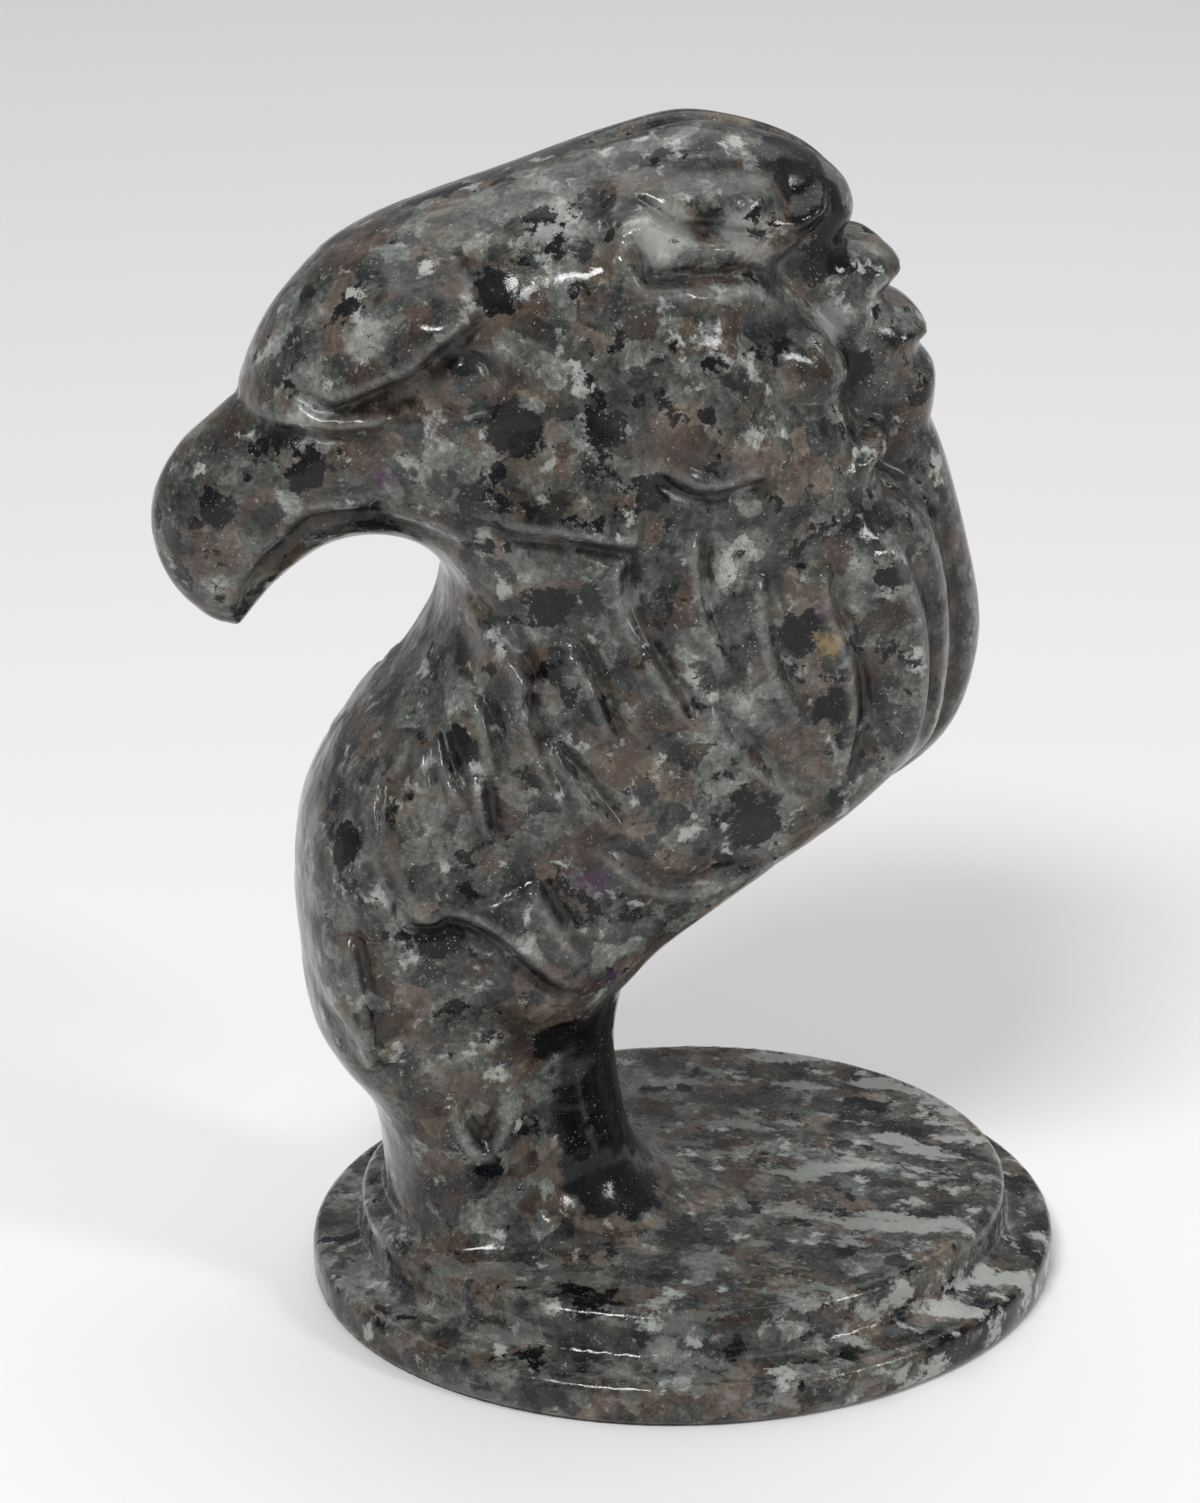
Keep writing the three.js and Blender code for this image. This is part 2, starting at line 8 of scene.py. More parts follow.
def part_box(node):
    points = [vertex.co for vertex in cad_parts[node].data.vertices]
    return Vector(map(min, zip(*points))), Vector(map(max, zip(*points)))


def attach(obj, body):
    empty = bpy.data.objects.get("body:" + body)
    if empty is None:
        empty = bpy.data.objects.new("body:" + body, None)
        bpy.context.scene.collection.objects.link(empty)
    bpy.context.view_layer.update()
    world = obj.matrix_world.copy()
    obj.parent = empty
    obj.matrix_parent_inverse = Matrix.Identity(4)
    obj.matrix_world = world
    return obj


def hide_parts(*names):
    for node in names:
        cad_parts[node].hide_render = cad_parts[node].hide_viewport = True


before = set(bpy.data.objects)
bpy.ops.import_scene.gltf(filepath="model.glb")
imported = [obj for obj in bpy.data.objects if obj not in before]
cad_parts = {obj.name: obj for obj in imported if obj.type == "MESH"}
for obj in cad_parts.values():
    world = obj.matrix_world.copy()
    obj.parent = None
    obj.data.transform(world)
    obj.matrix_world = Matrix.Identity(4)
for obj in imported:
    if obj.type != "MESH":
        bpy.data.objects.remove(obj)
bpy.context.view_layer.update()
NODE = "eagle_head_carving"
MM = 0.001

# Sizes in mm, from the frame's box where it gives them
low, high = (np.array(corner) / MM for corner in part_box(NODE))
PLINTH_HALF_LENGTH = high[0]
PLINTH_HALF_DEPTH = high[1]
PLINTH_HEIGHT = 8.6
LOWER_TIER_HEIGHT = 4.0
TIER_SETBACK = 4.7
UNDERSIDE_ROUNDING = 0.8
LOWER_ROUNDING = 1.1
UPPER_ROUNDING = 1.0
COVE_RISE = 1.1
COVE_WIDTH = 3.4
COVE_OFFSET = 0.2
LOWER_ROUNDING_END = 75
ARC_STEPS = 8
FOOT_SETBACK = 1.2
FOOT_FILLET = 9.0
LEAST_FILLET = 1.4
PLINTH_BLEND = 0.5

# The foot's flare runs out on a level this far under the plinth's top. Up to this height above the top it
# stays within the rim.
SLAB_DROP = 0.02
RIM_CLEARANCE = 0.6

# The foot ends this far down in the plinth. The plinth's form is worked out up to a height above its top,
# and beyond it counts as this far away.
FOOT_DEPTH = 4
PLINTH_REACH = 6
BEYOND_REACH = 50.0

# Groove between the two tufts on the crown: where it starts on the drawing, its ramp, width and depth
PARTING_START = (-10, 101)
PARTING_RAMP = 4.0
PARTING_WIDTH = 1.1
PARTING_DEPTH = 1.4

# The figure is drawn in mm with the plinth's top at this level and the foot's front at this x.
DRAWN_TOP_OF_PLINTH = 12.1
DRAWN_FOOT_FRONT = -29.6
SHIFT_X = -(PLINTH_HALF_LENGTH - TIER_SETBACK - FOOT_SETBACK) - DRAWN_FOOT_FRONT
SHIFT_Z = PLINTH_HEIGHT - DRAWN_TOP_OF_PLINTH

# Mesh sizes in mm, and the part of the drawing that the maps cover
MAP_STEP = 0.25
MAP_X = (-54, 34)
MAP_Z = (2, 120)
GRID_MARGIN = 2
CELL = 0.64
SLOPE_STEP = 0.3
OUTLINE_STEPS = 8
CARVING_STEPS = 6

# Settling the mesh onto the surface: rounds, least slope squared, and the most that a point moves in each
# round and in all, in cells
SETTLE_ROUNDS = 3
LEAST_SLOPE = 0.1
MOST_MOVE = 0.3
MOST_MOVE_IN_ALL = 0.6

# Guards against a division by zero and a sign of zero, and how far the mesh stays in the solid's box, mm
TINY = 1e-9
NO_LENGTH = 1e-12
BOX_CLEARANCE = 0.01

# Side view outline, as curves that meet at corners
CHEST_AND_JAW = [
    (-28.4, 8), (-28.5, 17), (-29.8, 23.5), (-33.2, 28.5), (-35.1, 33), (-35.8, 41), (-35.8, 48), (-34.3, 54),
    (-30.1, 60.5), (-24.7, 66.6), (-22.1, 71.3), (-22.4, 75.2), (-25, 77.9), (-29, 78.8), (-33, 78),
    (-37, 75), (-40.7, 70.7),
]
BEAK_RIDGE = [
    (-40.7, 70.7), (-43.3, 71.8), (-46.1, 75), (-47.5, 79), (-47.2, 83), (-45, 86.8), (-42.2, 89.2),
    (-39.7, 91.2),
]
CROWN = [
    (-39.7, 91.2), (-38.6, 94.8), (-36, 99.2), (-31.2, 103.7), (-24.6, 107), (-15.8, 109.8), (-8, 112.3),
    (-1, 113.9), (4.5, 113.3), (9.4, 111.5), (12.8, 108.8), (13.8, 106), (12.8, 103.7),
]
CREST_LOBES = [
    [(12.8, 103.7), (15.9, 103.2), (18.2, 100.8), (16.6, 98.3)],
    [(16.6, 98.3), (19.3, 97.1), (20.8, 95), (19.9, 93.6)],
    [(19.9, 93.6), (21.5, 91.6), (21.6, 88.8), (21.3, 87)],
]
NAPE = [
    (21.3, 87), (22.9, 83), (24.8, 76.5), (26.3, 70), (26.5, 65.5), (25.3, 60), (22.7, 55.8), (17.7, 52.2),
    (9.5, 48.6), (2.5, 44.2), (-3, 39.7), (-6.6, 34.6),
]
COLUMN_BACK = [(-6.6, 34.6), (-7.3, 30), (-7.2, 26), (-6.4, 21), (-5.6, 15), (-5.6, 8)]
FOOT_CLOSE = [(-5.6, 8), (-28.4, 8)]

# Rear edge of the wide side layer, which leaves the narrower crest and nape standing behind it
SIDE_LAYER_EDGE = [
    [(-8, 112.3), (-1, 113.9), (4, 113), (7, 111.4), (7.4, 109.6)],
    [(7.4, 109.6), (10.2, 109.6), (11, 107), (9.4, 104.8), (6.4, 102.2)],
    [(6.4, 102.2), (8.6, 99.4), (11.7, 95.6), (12.6, 93.4), (12.2, 91.2), (13, 89.2)],
    [(13, 89.2), (15.3, 88.6), (16.3, 86.4), (15.4, 84.4)],
    [(15.4, 84.4), (18, 82.9), (20.4, 79.6), (21.9, 75), (22.6, 69.6), (22.4, 64.4), (21, 58.8),
     (16.6, 54.4)],
    [(16.6, 54.4), (13, 51.2), (9.5, 48.6)],
]

# Places on the drawing, each with the side layer's half thickness, how far in from the outline its rounding
# runs, and how boxy its section is
STATIONS = [
    (-41, 72, 2.4, 3.0, 2.0), (-45, 80, 4.6, 4.6, 2.0), (-40, 86, 6.8, 6.4, 2.0), (-33, 80, 6.6, 4.0, 2.2),
    (-33, 87, 9.4, 8, 2.2), (-35, 97, 10.8, 10, 2.1), (-26, 98, 13.6, 12, 2.2), (-21, 91, 14.2, 12, 2.4),
    (-12, 84, 16.6, 12, 2.4), (-10, 104, 14.8, 13, 2.1), (1, 108, 12, 10, 2.1), (-2, 93, 17.2, 13, 2.4),
    (8, 104, 10.6, 3.6, 2.4), (9, 97, 13, 3.4, 2.4), (13, 88, 13.6, 4, 2.4), (4, 84, 16.8, 10, 2.4),
    (18, 74, 14, 5, 2.4), (-18, 72, 13.4, 8, 2.4), (-2, 70, 17.2, 12, 2.4), (10, 76, 16, 9, 2.4),
    (14, 60, 14.6, 7, 2.8), (-5, 55, 16.4, 12, 2.6), (2, 47, 13.5, 6, 2.8), (-25, 58, 13, 8, 2.5),
    (-28, 46, 13, 7.5, 2.6), (-15, 42, 14.4, 10, 2.6), (-22, 30, 11.6, 7, 2.6), (-12, 28, 8.6, 6, 2.2),
    (-21, 18, 11.4, 6.5, 2.4), (-10, 18, 7.6, 5, 2.2),
]

# A station's reach and the least half thickness, mm, and what keeps the middle of a section from dividing
# by zero
STATION_REACH = 5.5
LEAST_HALF = 1.2
CENTRE_SOFTENING = 0.01

# The narrow layer behind and under the side layer. Behind this x it takes a share of the carving's rise.
CREST_HALF = 7.4
CREST_SHARE = 0.8
CREST_ROUNDING = 4.0
CREST_POWER = 2.2
CREST_CARVED_FROM = 6
CREST_CARVING = 0.35
LAYER_BLEND = 0.7

# Round eye inside a ring, with painted shade in the ring's groove
EYE_PLACE = (-22.4, 95.2)
EYE_RADIUS = 2.5
EYE_RING_WIDTH = 0.5
EYE_RING_DEPTH = 0.55
EYE_RING_SHADE = 0.8

# Broad swellings and hollows on the side: place, reach along x and z, rise
SWELLINGS = [
    (-26.8, 101, 6, 2.8, 2.2), (-29, 93.7, 4.4, 1.4, -1.7), (-13, 94, 5, 6, 0.4), (-37.5, 78.2, 4, 2.4, -0.7),
    (-8.8, 77.2, 0.9, 2.6, -0.9), (-2.0, 77.5, 0.8, 4.0, -0.9), (*EYE_PLACE, 2.3, 2.3, 0.35),
    (6, 92, 5, 2, -0.5), (4, 98, 5, 1.6, -0.4), (-34, 87, 5, 2.4, 0.4),
]

# Fine grooves: width, depth, points
GROOVES = [
    (0.6, 0.5, [(-31.2, 92.6), (-28.7, 92.5), (-27, 93.4), (-25.6, 95)]),
    (0.6, 0.45, [(3, 87.3), (1, 87.1), (-2.2, 87.5), (-4.2, 88.4), (-6, 89.8)]),
    (0.8, 0.5, [(1, 99), (5, 98.4), (8.6, 96.6)]),
    (0.8, 0.5, [(3, 92.6), (7, 91.8), (11.4, 91.6)]),
    (0.7, 0.5, [(-29.5, 84.6), (-32.6, 84.8), (-35.6, 84)]),
]

# Edges that stand proud on the right of their direction and fade into the next lock: width, fade, rise and
# points
LOCKS = [
    (0.65, 5, 1.6, [(-28.5, 91.2), (-31.9, 90.9), (-34.9, 90.9), (-38.7, 90.9), (-39.6, 91.8), (-40, 93)]),
    (0.8, 5, 2.5, [(-20.5, 101.6), (-23.7, 99.5), (-25.3, 98), (-26.5, 96.7), (-29, 95.2), (-32.7, 93.4),
                   (-34.9, 94.2), (-36.2, 95.6)]),
    (0.65, 5, 1.7, [(-29.5, 83.2), (-33.1, 83.2), (-35.4, 82.6), (-37.3, 80.3), (-39.1, 78.1), (-40.2, 75.7),
                   (-41.2, 72)]),
    (0.6, 3, 1.1, [(-22, 80), (-23.3, 80.8), (-25.8, 81.7), (-28.6, 82.6)]),
    (0.65, 3, 1.9, [(-8, 80.9), (-10.7, 81.3), (-15.2, 82.2), (-18.7, 82.4), (-21.9, 83.8)]),
    (0.65, 2.4, 1.5, [(3, 86.6), (0.9, 86), (-2.9, 85.6), (-4.9, 86.6), (-6.5, 87.8)]),
    (0.6, 2.4, 1.6, [(-10.4, 107.4), (-8.9, 109.7), (-7.7, 110.5), (-6, 110.7), (-3.8, 110.4), (2.2, 110.2),
                      (6.5, 109.6)]),
    (0.6, 2.2, 2, [(-10.5, 104.8), (-9.3, 107.3), (-7.2, 108.5), (-5.8, 107.5), (-4.2, 106.7),
                      (-0.9, 106.1), (3.1, 105.4), (8, 104.6)]),
    (0.6, 2.6, 1.8, [(-9, 106.6), (-8, 104.3), (-6.7, 102.9), (-4.5, 103), (-0.4, 102.4), (1.8, 102.4),
                      (3.4, 101.6), (6.2, 100)]),
    (0.6, 2.6, 1.6, [(-21.9, 72.1), (-23.3, 68.7), (-26, 64.7), (-27.8, 63.3), (-30, 60.9), (-31.2, 59.1),
                      (-31.5, 57)]),
    (0.6, 2.6, 1.6, [(-22, 72.1), (-23.6, 68.2), (-26.3, 64.2), (-28.8, 59.7), (-30.1, 57.3), (-30.4, 53.7),
                      (-29.5, 50.1), (-29, 46.7)]),
    (0.6, 2.6, 1.8, [(-22.6, 74), (-22, 71.1), (-22.4, 67.7), (-21.2, 66.1), (-20.3, 61.5), (-19.6, 58.5)]),
    (0.6, 2.8, 2.2, [(-21.4, 74.4), (-20.1, 72.3), (-17.4, 68.7), (-17.7, 66.6), (-17, 64.3), (-15.6, 60),
                      (-14, 57.4)]),
    (0.55, 1.8, 1.4, [(-18.8, 73.6), (-18.2, 72), (-17.1, 69.2), (-16.6, 67.6)]),
    (0.6, 2.8, 2, [(-13.4, 71.6), (-12, 68.9), (-10.8, 65.7), (-9.8, 63)]),
    (0.6, 2.8, 1.9, [(-7.4, 71.6), (-6.1, 69.4), (-4.8, 67.3), (-3.4, 64.8)]),
    (0.6, 2.8, 1.9, [(-15.4, 62.6), (-14.1, 60.7), (-12.5, 58.6), (-9.4, 54.8)]),
    (0.6, 2.2, 1.5, [(-21.6, 60), (-21.3, 58), (-20.9, 55.8), (-20.2, 53.6)]),
    (0.6, 2.2, 1.5, [(-29.6, 59), (-28.4, 61.1), (-27.4, 62.8), (-26.1, 62.3), (-26.1, 59.9), (-26, 57)]),
    (0.6, 2.2, 1.4, [(-25.2, 65.4), (-24.2, 60.7), (-22.6, 57)]),
    (0.65, 2.8, 1.4, [(-9.6, 80), (-9.3, 77), (-8.6, 74), (-7, 70.8)]),
    (0.65, 2.8, 1.4, [(-2.9, 81.8), (-2.6, 77), (-1.8, 73.4), (0.2, 69)]),
    (0.75, 2.8, 1.2, [(-2.1, 66.6), (0.6, 62.7), (4.3, 58.6), (8, 55.6)]),
    (0.75, 2.8, 1.2, [(2.8, 78), (3.2, 73), (4.6, 68), (6.8, 63.6)]),
    (0.65, 3, 1.8, [(8.6, 78), (8.9, 74.7), (11.1, 68.7), (11.8, 62.8), (10.5, 56.4)]),
    (0.65, 3, 1.8, [(14.6, 80), (15.8, 77.5), (17.9, 71.7), (18.2, 64.2), (16.8, 58.2)]),
    (0.75, 3, 0.9, [(-11.4, 53.7), (-5.9, 49), (-0.1, 48.3), (4.6, 49.8)]),
    (0.65, 4, 1.9, [(-12.8, 38.8), (-15.3, 40), (-20.6, 45.2), (-24.5, 46.8), (-25.8, 46.3), (-27.8, 47.1),
                   (-30.5, 53.8), (-30.8, 58)]),
    (0.6, 2.4, 1.5, [(-31.5, 31.2), (-33.1, 35.2), (-34.5, 37.2), (-35.6, 40), (-36, 44.2)]),
    (0.6, 2.4, 1.4, [(-32.9, 45), (-32.2, 40.7), (-31.4, 36.9), (-31.3, 33.6)]),
    (0.6, 2, 1.4, [(-23.6, 27.5), (-23, 25), (-21.2, 22.3), (-19.8, 24.4), (-19.2, 26.6)]),
    (0.6, 3, 1.4, [(-16.8, 50), (-15.8, 47.8), (-13.7, 44.2), (-12.3, 41.7)]),
]

# Depth of the groove at a lock's foot, as a share of its rise, and width of the painted highlight line on its
# edge
LOCK_GROOVE = 0.45
PAINTED_HIGHLIGHT_WIDTH = 0.35

# Shares of their length over which grooves and locks grow at the start and fade at the end
GROOVE_FADES = (0.15, 0.25)
LOCK_FADES = (0.1, 0.3)

# Share of the carving's rise, up to a most, that also moves the side layer's edge in the side view
EDGE_SHARE = 0.25
EDGE_MOST = 1.2

# Painted shade line in the step behind the side layer's rear edge, from this x and z on
STEP_LINE_AWAY = 0.4
STEP_LINE_WIDTH = 0.7
STEP_LINE_FROM = (5, 55)

# Painted shade and painted highlight lines show by this many times how squarely the surface faces the
# side, at most in full, and only above this height.
SIDE_FACING = 1.4
LINES_FROM = PLINTH_HEIGHT + 1


def curve(points, steps):
    """Points of a smooth curve through the given ones, straight where there are only two."""
    p = np.array(points, float)
    if len(p) == 2:
        return p
    ends = np.vstack([2 * p[0] - p[1], p, 2 * p[-1] - p[-2]])
    t = (np.arange(steps) / steps)[:, None]
    out = []
    for i in range(1, len(ends) - 2):
        a, b, c, d = ends[i - 1 : i + 3]
        bend = 2 * b + (c - a) * t + (2 * a - 5 * b + 4 * c - d) * t**2 + (3 * b - a - 3 * c + d) * t**3
        out.append(bend / 2)
    return np.vstack(out + [p[-1:]])


def closed(curves):
    """One closed outline from curves that meet end to start."""
    return np.vstack([curve(c, OUTLINE_STEPS)[:-1] for c in curves])


def line_distance(x, z, line):
    """Distance from a line, its side as 1 or -1, and the share of the line before the nearest place."""
    nearest = np.full(x.shape, np.inf)
    side = np.ones(x.shape)
    along = np.zeros(x.shape)
    count = len(line) - 1
    for i in range(count):
        (ax, az), (bx, bz) = line[i], line[i + 1]
        ux, uz = bx - ax, bz - az
        length2 = ux * ux + uz * uz
        if length2 < NO_LENGTH:
            continue
        raw = ((x - ax) * ux + (z - az) * uz) / length2
        t = np.clip(raw, 0, 1)
        away = np.hypot(x - ax - t * ux, z - az - t * uz)
        better = away < nearest
        nearest = np.where(better, away, nearest)
        side = np.where(better, np.sign((x - ax) * uz - (z - az) * ux + NO_LENGTH), side)
        along = np.where(better, (i + t) / count, along)
    return nearest, side, along


def inside_distance(x, z, outline):
    """Distance to a closed outline, negative inside it."""
    nearest, _, _ = line_distance(x, z, np.vstack([outline, outline[:1]]))
    inside = np.zeros(x.shape, bool)
    for (ax, az), (bx, bz) in zip(outline, np.roll(outline, -1, axis=0)):
        if az == bz:
            continue
        crosses = (az > z) != (bz > z)
        inside ^= crosses & (x < ax + (z - az) * (bx - ax) / (bz - az))
    return np.where(inside, -nearest, nearest)


def fade_ends(along, start, end):
    """1 along a line, falling to 0 over the given shares at its start and end."""
    rise = np.clip(along / start, 0, 1)
    fall = np.clip((1 - along) / end, 0, 1)
    return np.sqrt(np.clip(rise * fall, 0, 1))


map_x = np.arange(*MAP_X, MAP_STEP)
map_z = np.arange(*MAP_Z, MAP_STEP)
X, Z = np.meshgrid(map_x, map_z, indexing="ij")

whole_outline = closed([CHEST_AND_JAW, BEAK_RIDGE, CROWN, *CREST_LOBES, NAPE, COLUMN_BACK, FOOT_CLOSE])
side_outline = closed(
    [CHEST_AND_JAW, BEAK_RIDGE, CROWN[:7], *SIDE_LAYER_EDGE, NAPE[8:], COLUMN_BACK, FOOT_CLOSE]
)


def thickness_maps():
    """Half thickness, rounding and boxiness everywhere, blended from the stations."""
    total = np.zeros(X.shape)
    sums = [np.zeros(X.shape) for _ in range(3)]
    for x, z, *values in STATIONS:
        away = ((X - x) ** 2 + (Z - z) ** 2) / STATION_REACH**2
        weight = 1 / (1 + away * away)
        total += weight
        for store, value in zip(sums, values):
            store += weight * value
    return [store / total for store in sums]


def carving_maps():
    """How far the carving raises the side, and where its painted shade and painted highlights run."""
    rise = np.zeros(X.shape)
    painted_shade = np.zeros(X.shape)
    light = np.zeros(X.shape)
    for x, z, reach_x, reach_z, height in SWELLINGS:
        rise += height * np.exp(-(((X - x) / reach_x) ** 2) - ((Z - z) / reach_z) ** 2)
    for width, depth, points in GROOVES:
        away, _, along = line_distance(X, Z, curve(points, CARVING_STEPS))
        groove = np.exp(-((away / width) ** 2)) * fade_ends(along, *GROOVE_FADES)
        rise -= depth * groove
        # Painted shade in the groove, as strong as it is deep
        painted_shade = np.maximum(painted_shade, groove * depth)
    for width, fade, height, points in LOCKS:
        away, side, along = line_distance(X, Z, curve(points, CARVING_STEPS))
        signed = away * side
        edge = 0.5 + 0.5 * np.tanh(signed / width)
        ends = fade_ends(along, *LOCK_FADES)
        foot = np.exp(-(((signed + width) / width) ** 2))
        rise += height * ends * (edge * np.exp(-np.maximum(signed, 0) / fade) - LOCK_GROOVE * foot)
        # Painted shade at the lock's foot, and a painted highlight along its raised edge
        painted_shade = np.maximum(painted_shade, ends * foot)
        light = np.maximum(light, ends * np.exp(-(((signed - width) / PAINTED_HIGHLIGHT_WIDTH) ** 2)))
    from_eye = np.hypot(X - EYE_PLACE[0], Z - EYE_PLACE[1])
    ring = np.exp(-(((from_eye - EYE_RADIUS) / EYE_RING_WIDTH) ** 2))
    rise -= EYE_RING_DEPTH * ring
    # Painted shade in the eye's ring
    painted_shade = np.maximum(painted_shade, EYE_RING_SHADE * ring)
    return rise, painted_shade, light


half_map, rounding_map, power_map = thickness_maps()
rise_map, painted_shade_map, painted_highlight_map = carving_maps()
side_map = inside_distance(X, Z, side_outline)
whole_map = inside_distance(X, Z, whole_outline)
# Painted shade in the step just behind the side layer's rear edge
painted_step_shade = np.exp(-(((side_map - STEP_LINE_AWAY) / STEP_LINE_WIDTH) ** 2))
painted_step_shade = painted_step_shade * (X > STEP_LINE_FROM[0]) * (Z > STEP_LINE_FROM[1])
painted_shade_map = np.maximum(painted_shade_map, painted_step_shade)
carved_map = np.maximum(LEAST_HALF, half_map + rise_map)
crest_map = np.minimum(CREST_HALF, half_map * CREST_SHARE)
crest_map = crest_map + CREST_CARVING * rise_map * (X > CREST_CARVED_FROM)
pushed_side = side_map - EDGE_SHARE * np.clip(rise_map, -EDGE_MOST, EDGE_MOST)
MAPS = np.stack(
    [pushed_side, whole_map, carved_map, rounding_map, power_map, crest_map, painted_shade_map, painted_highlight_map], -1
)


def read_maps(x, z):
    """The maps' values at any places of the side view, kept just inside the maps' last line."""
    just_over_one = 1.001
    u = np.clip((x - map_x[0]) / MAP_STEP, 0, len(map_x) - just_over_one)
    v = np.clip((z - map_z[0]) / MAP_STEP, 0, len(map_z) - just_over_one)
    i, j = u.astype(int), v.astype(int)
    s, t = (u - i)[..., None], (v - j)[..., None]
    top = MAPS[i, j] * (1 - s) + MAPS[i + 1, j] * s
    bottom = MAPS[i, j + 1] * (1 - s) + MAPS[i + 1, j + 1] * s
    return top * (1 - t) + bottom * t


def soft_join(a, b, blend):
    """Two forms in one, with a soft fillet where they come within the blend of each other."""
    h = np.maximum(blend - np.abs(a - b), 0) / blend
    return np.minimum(a, b) - h * h * blend / 4


def layer(edge, y, half, rounding, power):
    """An outline given a thickness, with its edge rounded: negative inside."""
    u = np.abs(y) / half
    v = np.maximum(0, 1 + edge / rounding)
    size = (u**power + v**power + TINY) ** (1 / power)
    reach = half * u * u + rounding * v * v + CENTRE_SOFTENING
    reach = reach / (u * u + v * v + CENTRE_SOFTENING)
    return (size - 1) * reach


def arc(centre_r, centre_z, radius, start, end):
    """Points of an arc between two angles in degrees, as distance from the plinth's middle and height."""
    angles = np.radians(np.linspace(start, end, ARC_STEPS + 1))
    return [(centre_r + radius * math.cos(a), centre_z + radius * math.sin(a)) for a in angles]


def plinth_profile():
    """Half of the plinth's section: rounded lower tier, cove and rounded upper tier."""
    outer = PLINTH_HALF_LENGTH
    upper = outer - TIER_SETBACK
    lower_centre = LOWER_TIER_HEIGHT - LOWER_ROUNDING
    past_middle = -5
    cove_end = upper + COVE_OFFSET
    cove = [
        (cove_end + COVE_WIDTH * (1 - math.cos(a)), LOWER_TIER_HEIGHT + COVE_RISE * (1 - math.sin(a)))
        for a in np.radians(np.linspace(90, 0, ARC_STEPS + 1))
    ]
    return np.array(
        [(past_middle, 0)]
        + arc(outer - UNDERSIDE_ROUNDING, UNDERSIDE_ROUNDING, UNDERSIDE_ROUNDING, -90, 0)
        + arc(outer - LOWER_ROUNDING, lower_centre, LOWER_ROUNDING, 0, LOWER_ROUNDING_END)
        + cove
        + arc(upper - UPPER_ROUNDING, PLINTH_HEIGHT - UPPER_ROUNDING, UPPER_ROUNDING, 0, 90)
        + [(past_middle, PLINTH_HEIGHT)]
    )


PROFILE = plinth_profile()


def oval_distance(x, y, half_length, half_depth):
    """Near enough the distance to an oval, negative inside it."""
    size = np.sqrt((x / half_length) ** 2 + (y / half_depth) ** 2) + TINY
    steepness = np.sqrt((x / half_length**2) ** 2 + (y / half_depth**2) ** 2) + TINY
    return np.maximum((size - 1) * size / steepness, -half_depth)


def field(x, y, z):
    """The whole carving: negative in the stone, in mm."""
    drawn_x, drawn_z = x - SHIFT_X, z - SHIFT_Z
    side, whole, half, rounding, power, crest = np.moveaxis(read_maps(drawn_x, drawn_z), -1, 0)[:6]
    outer = layer(side, y, half, rounding, power)
    inner = layer(whole, y, crest, CREST_ROUNDING, CREST_POWER)
    body = soft_join(outer, inner, LAYER_BLEND)
    behind = np.clip((drawn_x - PARTING_START[0]) / PARTING_RAMP, 0, 1)
    above = np.clip((drawn_z - PARTING_START[1]) / PARTING_RAMP, 0, 1)
    body = body + PARTING_DEPTH * behind * above * np.exp(-((y / PARTING_WIDTH) ** 2))
    slab = z - PLINTH_HEIGHT + SLAB_DROP
    edge_in = TIER_SETBACK + UPPER_ROUNDING
    upper_edge = oval_distance(x, y, PLINTH_HALF_LENGTH - edge_in, PLINTH_HALF_DEPTH - edge_in)
    flared = soft_join(body, slab, np.clip(-upper_edge, LEAST_FILLET, FOOT_FILLET))
    foot = np.maximum(flared, np.minimum(upper_edge, PLINTH_HEIGHT + RIM_CLEARANCE - z))
    foot = np.maximum(foot, PLINTH_HEIGHT - FOOT_DEPTH - z)
    near = z < PLINTH_HEIGHT + PLINTH_REACH
    plinth = np.full(x.shape, BEYOND_REACH)
    if np.any(near):
        past_edge = oval_distance(x[near], y[near], PLINTH_HALF_LENGTH, PLINTH_HALF_DEPTH)
        plinth[near] = inside_distance(PLINTH_HALF_LENGTH + past_edge, z[near], PROFILE)
    return soft_join(foot, plinth, PLINTH_BLEND)


CORNERS = [(a, b, c) for a in (0, 1) for b in (0, 1) for c in (0, 1)]


def grid_lines(start, end):
    """Places one cell apart, from the start to past the end."""
    return np.arange(start, end + CELL, CELL)


def skin():
    """A closed mesh of the surface: one point for each grid cell that it crosses, then settled onto it."""
    xs = grid_lines(low[0] - GRID_MARGIN, high[0] + GRID_MARGIN)
    ys = grid_lines(-high[1] - GRID_MARGIN, high[1] + GRID_MARGIN)
    zs = grid_lines(-GRID_MARGIN, high[2] + GRID_MARGIN)
    gx, gy, gz = np.meshgrid(xs, ys, zs, indexing="ij")
    values = np.empty(gx.shape)
    for i in range(len(xs)):
        values[i] = field(gx[i], gy[i], gz[i])
    filled = values < 0
    nx, ny, nz = filled.shape
    at_corners = [filled[a : nx - 1 + a, b : ny - 1 + b, c : nz - 1 + c] for a, b, c in CORNERS]
    count = sum(at_corner.astype(np.int8) for at_corner in at_corners)
    crossed = (count > 0) & (count < len(CORNERS))
    cells = np.argwhere(crossed)
    number = np.full(crossed.shape, -1)
    number[crossed] = np.arange(len(cells))
    points = cells * CELL + np.array([xs[0], ys[0], zs[0]]) + crossing_places(values, cells)
    return settle(points), faces_round_edges(filled, number)


def crossing_places(values, cells):
    """Where each cell's edges meet the surface, on average, in mm from the cell's first corner."""
    sums = np.zeros((len(cells), 3))
    hits = np.zeros(len(cells))
    i, j, k = cells.T
    for start in CORNERS:
        for axis in range(3):
            if start[axis]:
                continue
            end = list(start)
            end[axis] = 1
            va = values[i + start[0], j + start[1], k + start[2]]
            vb = values[i + end[0], j + end[1], k + end[2]]
            crossing = (va < 0) != (vb < 0)
            t = np.where(crossing, va / np.where(crossing, va - vb, 1), 0)
            place = np.array(start, float) + t[:, None] * (np.array(end) - np.array(start))
            sums += place * crossing[:, None]
            hits += crossing
    return CELL * sums / hits[:, None]


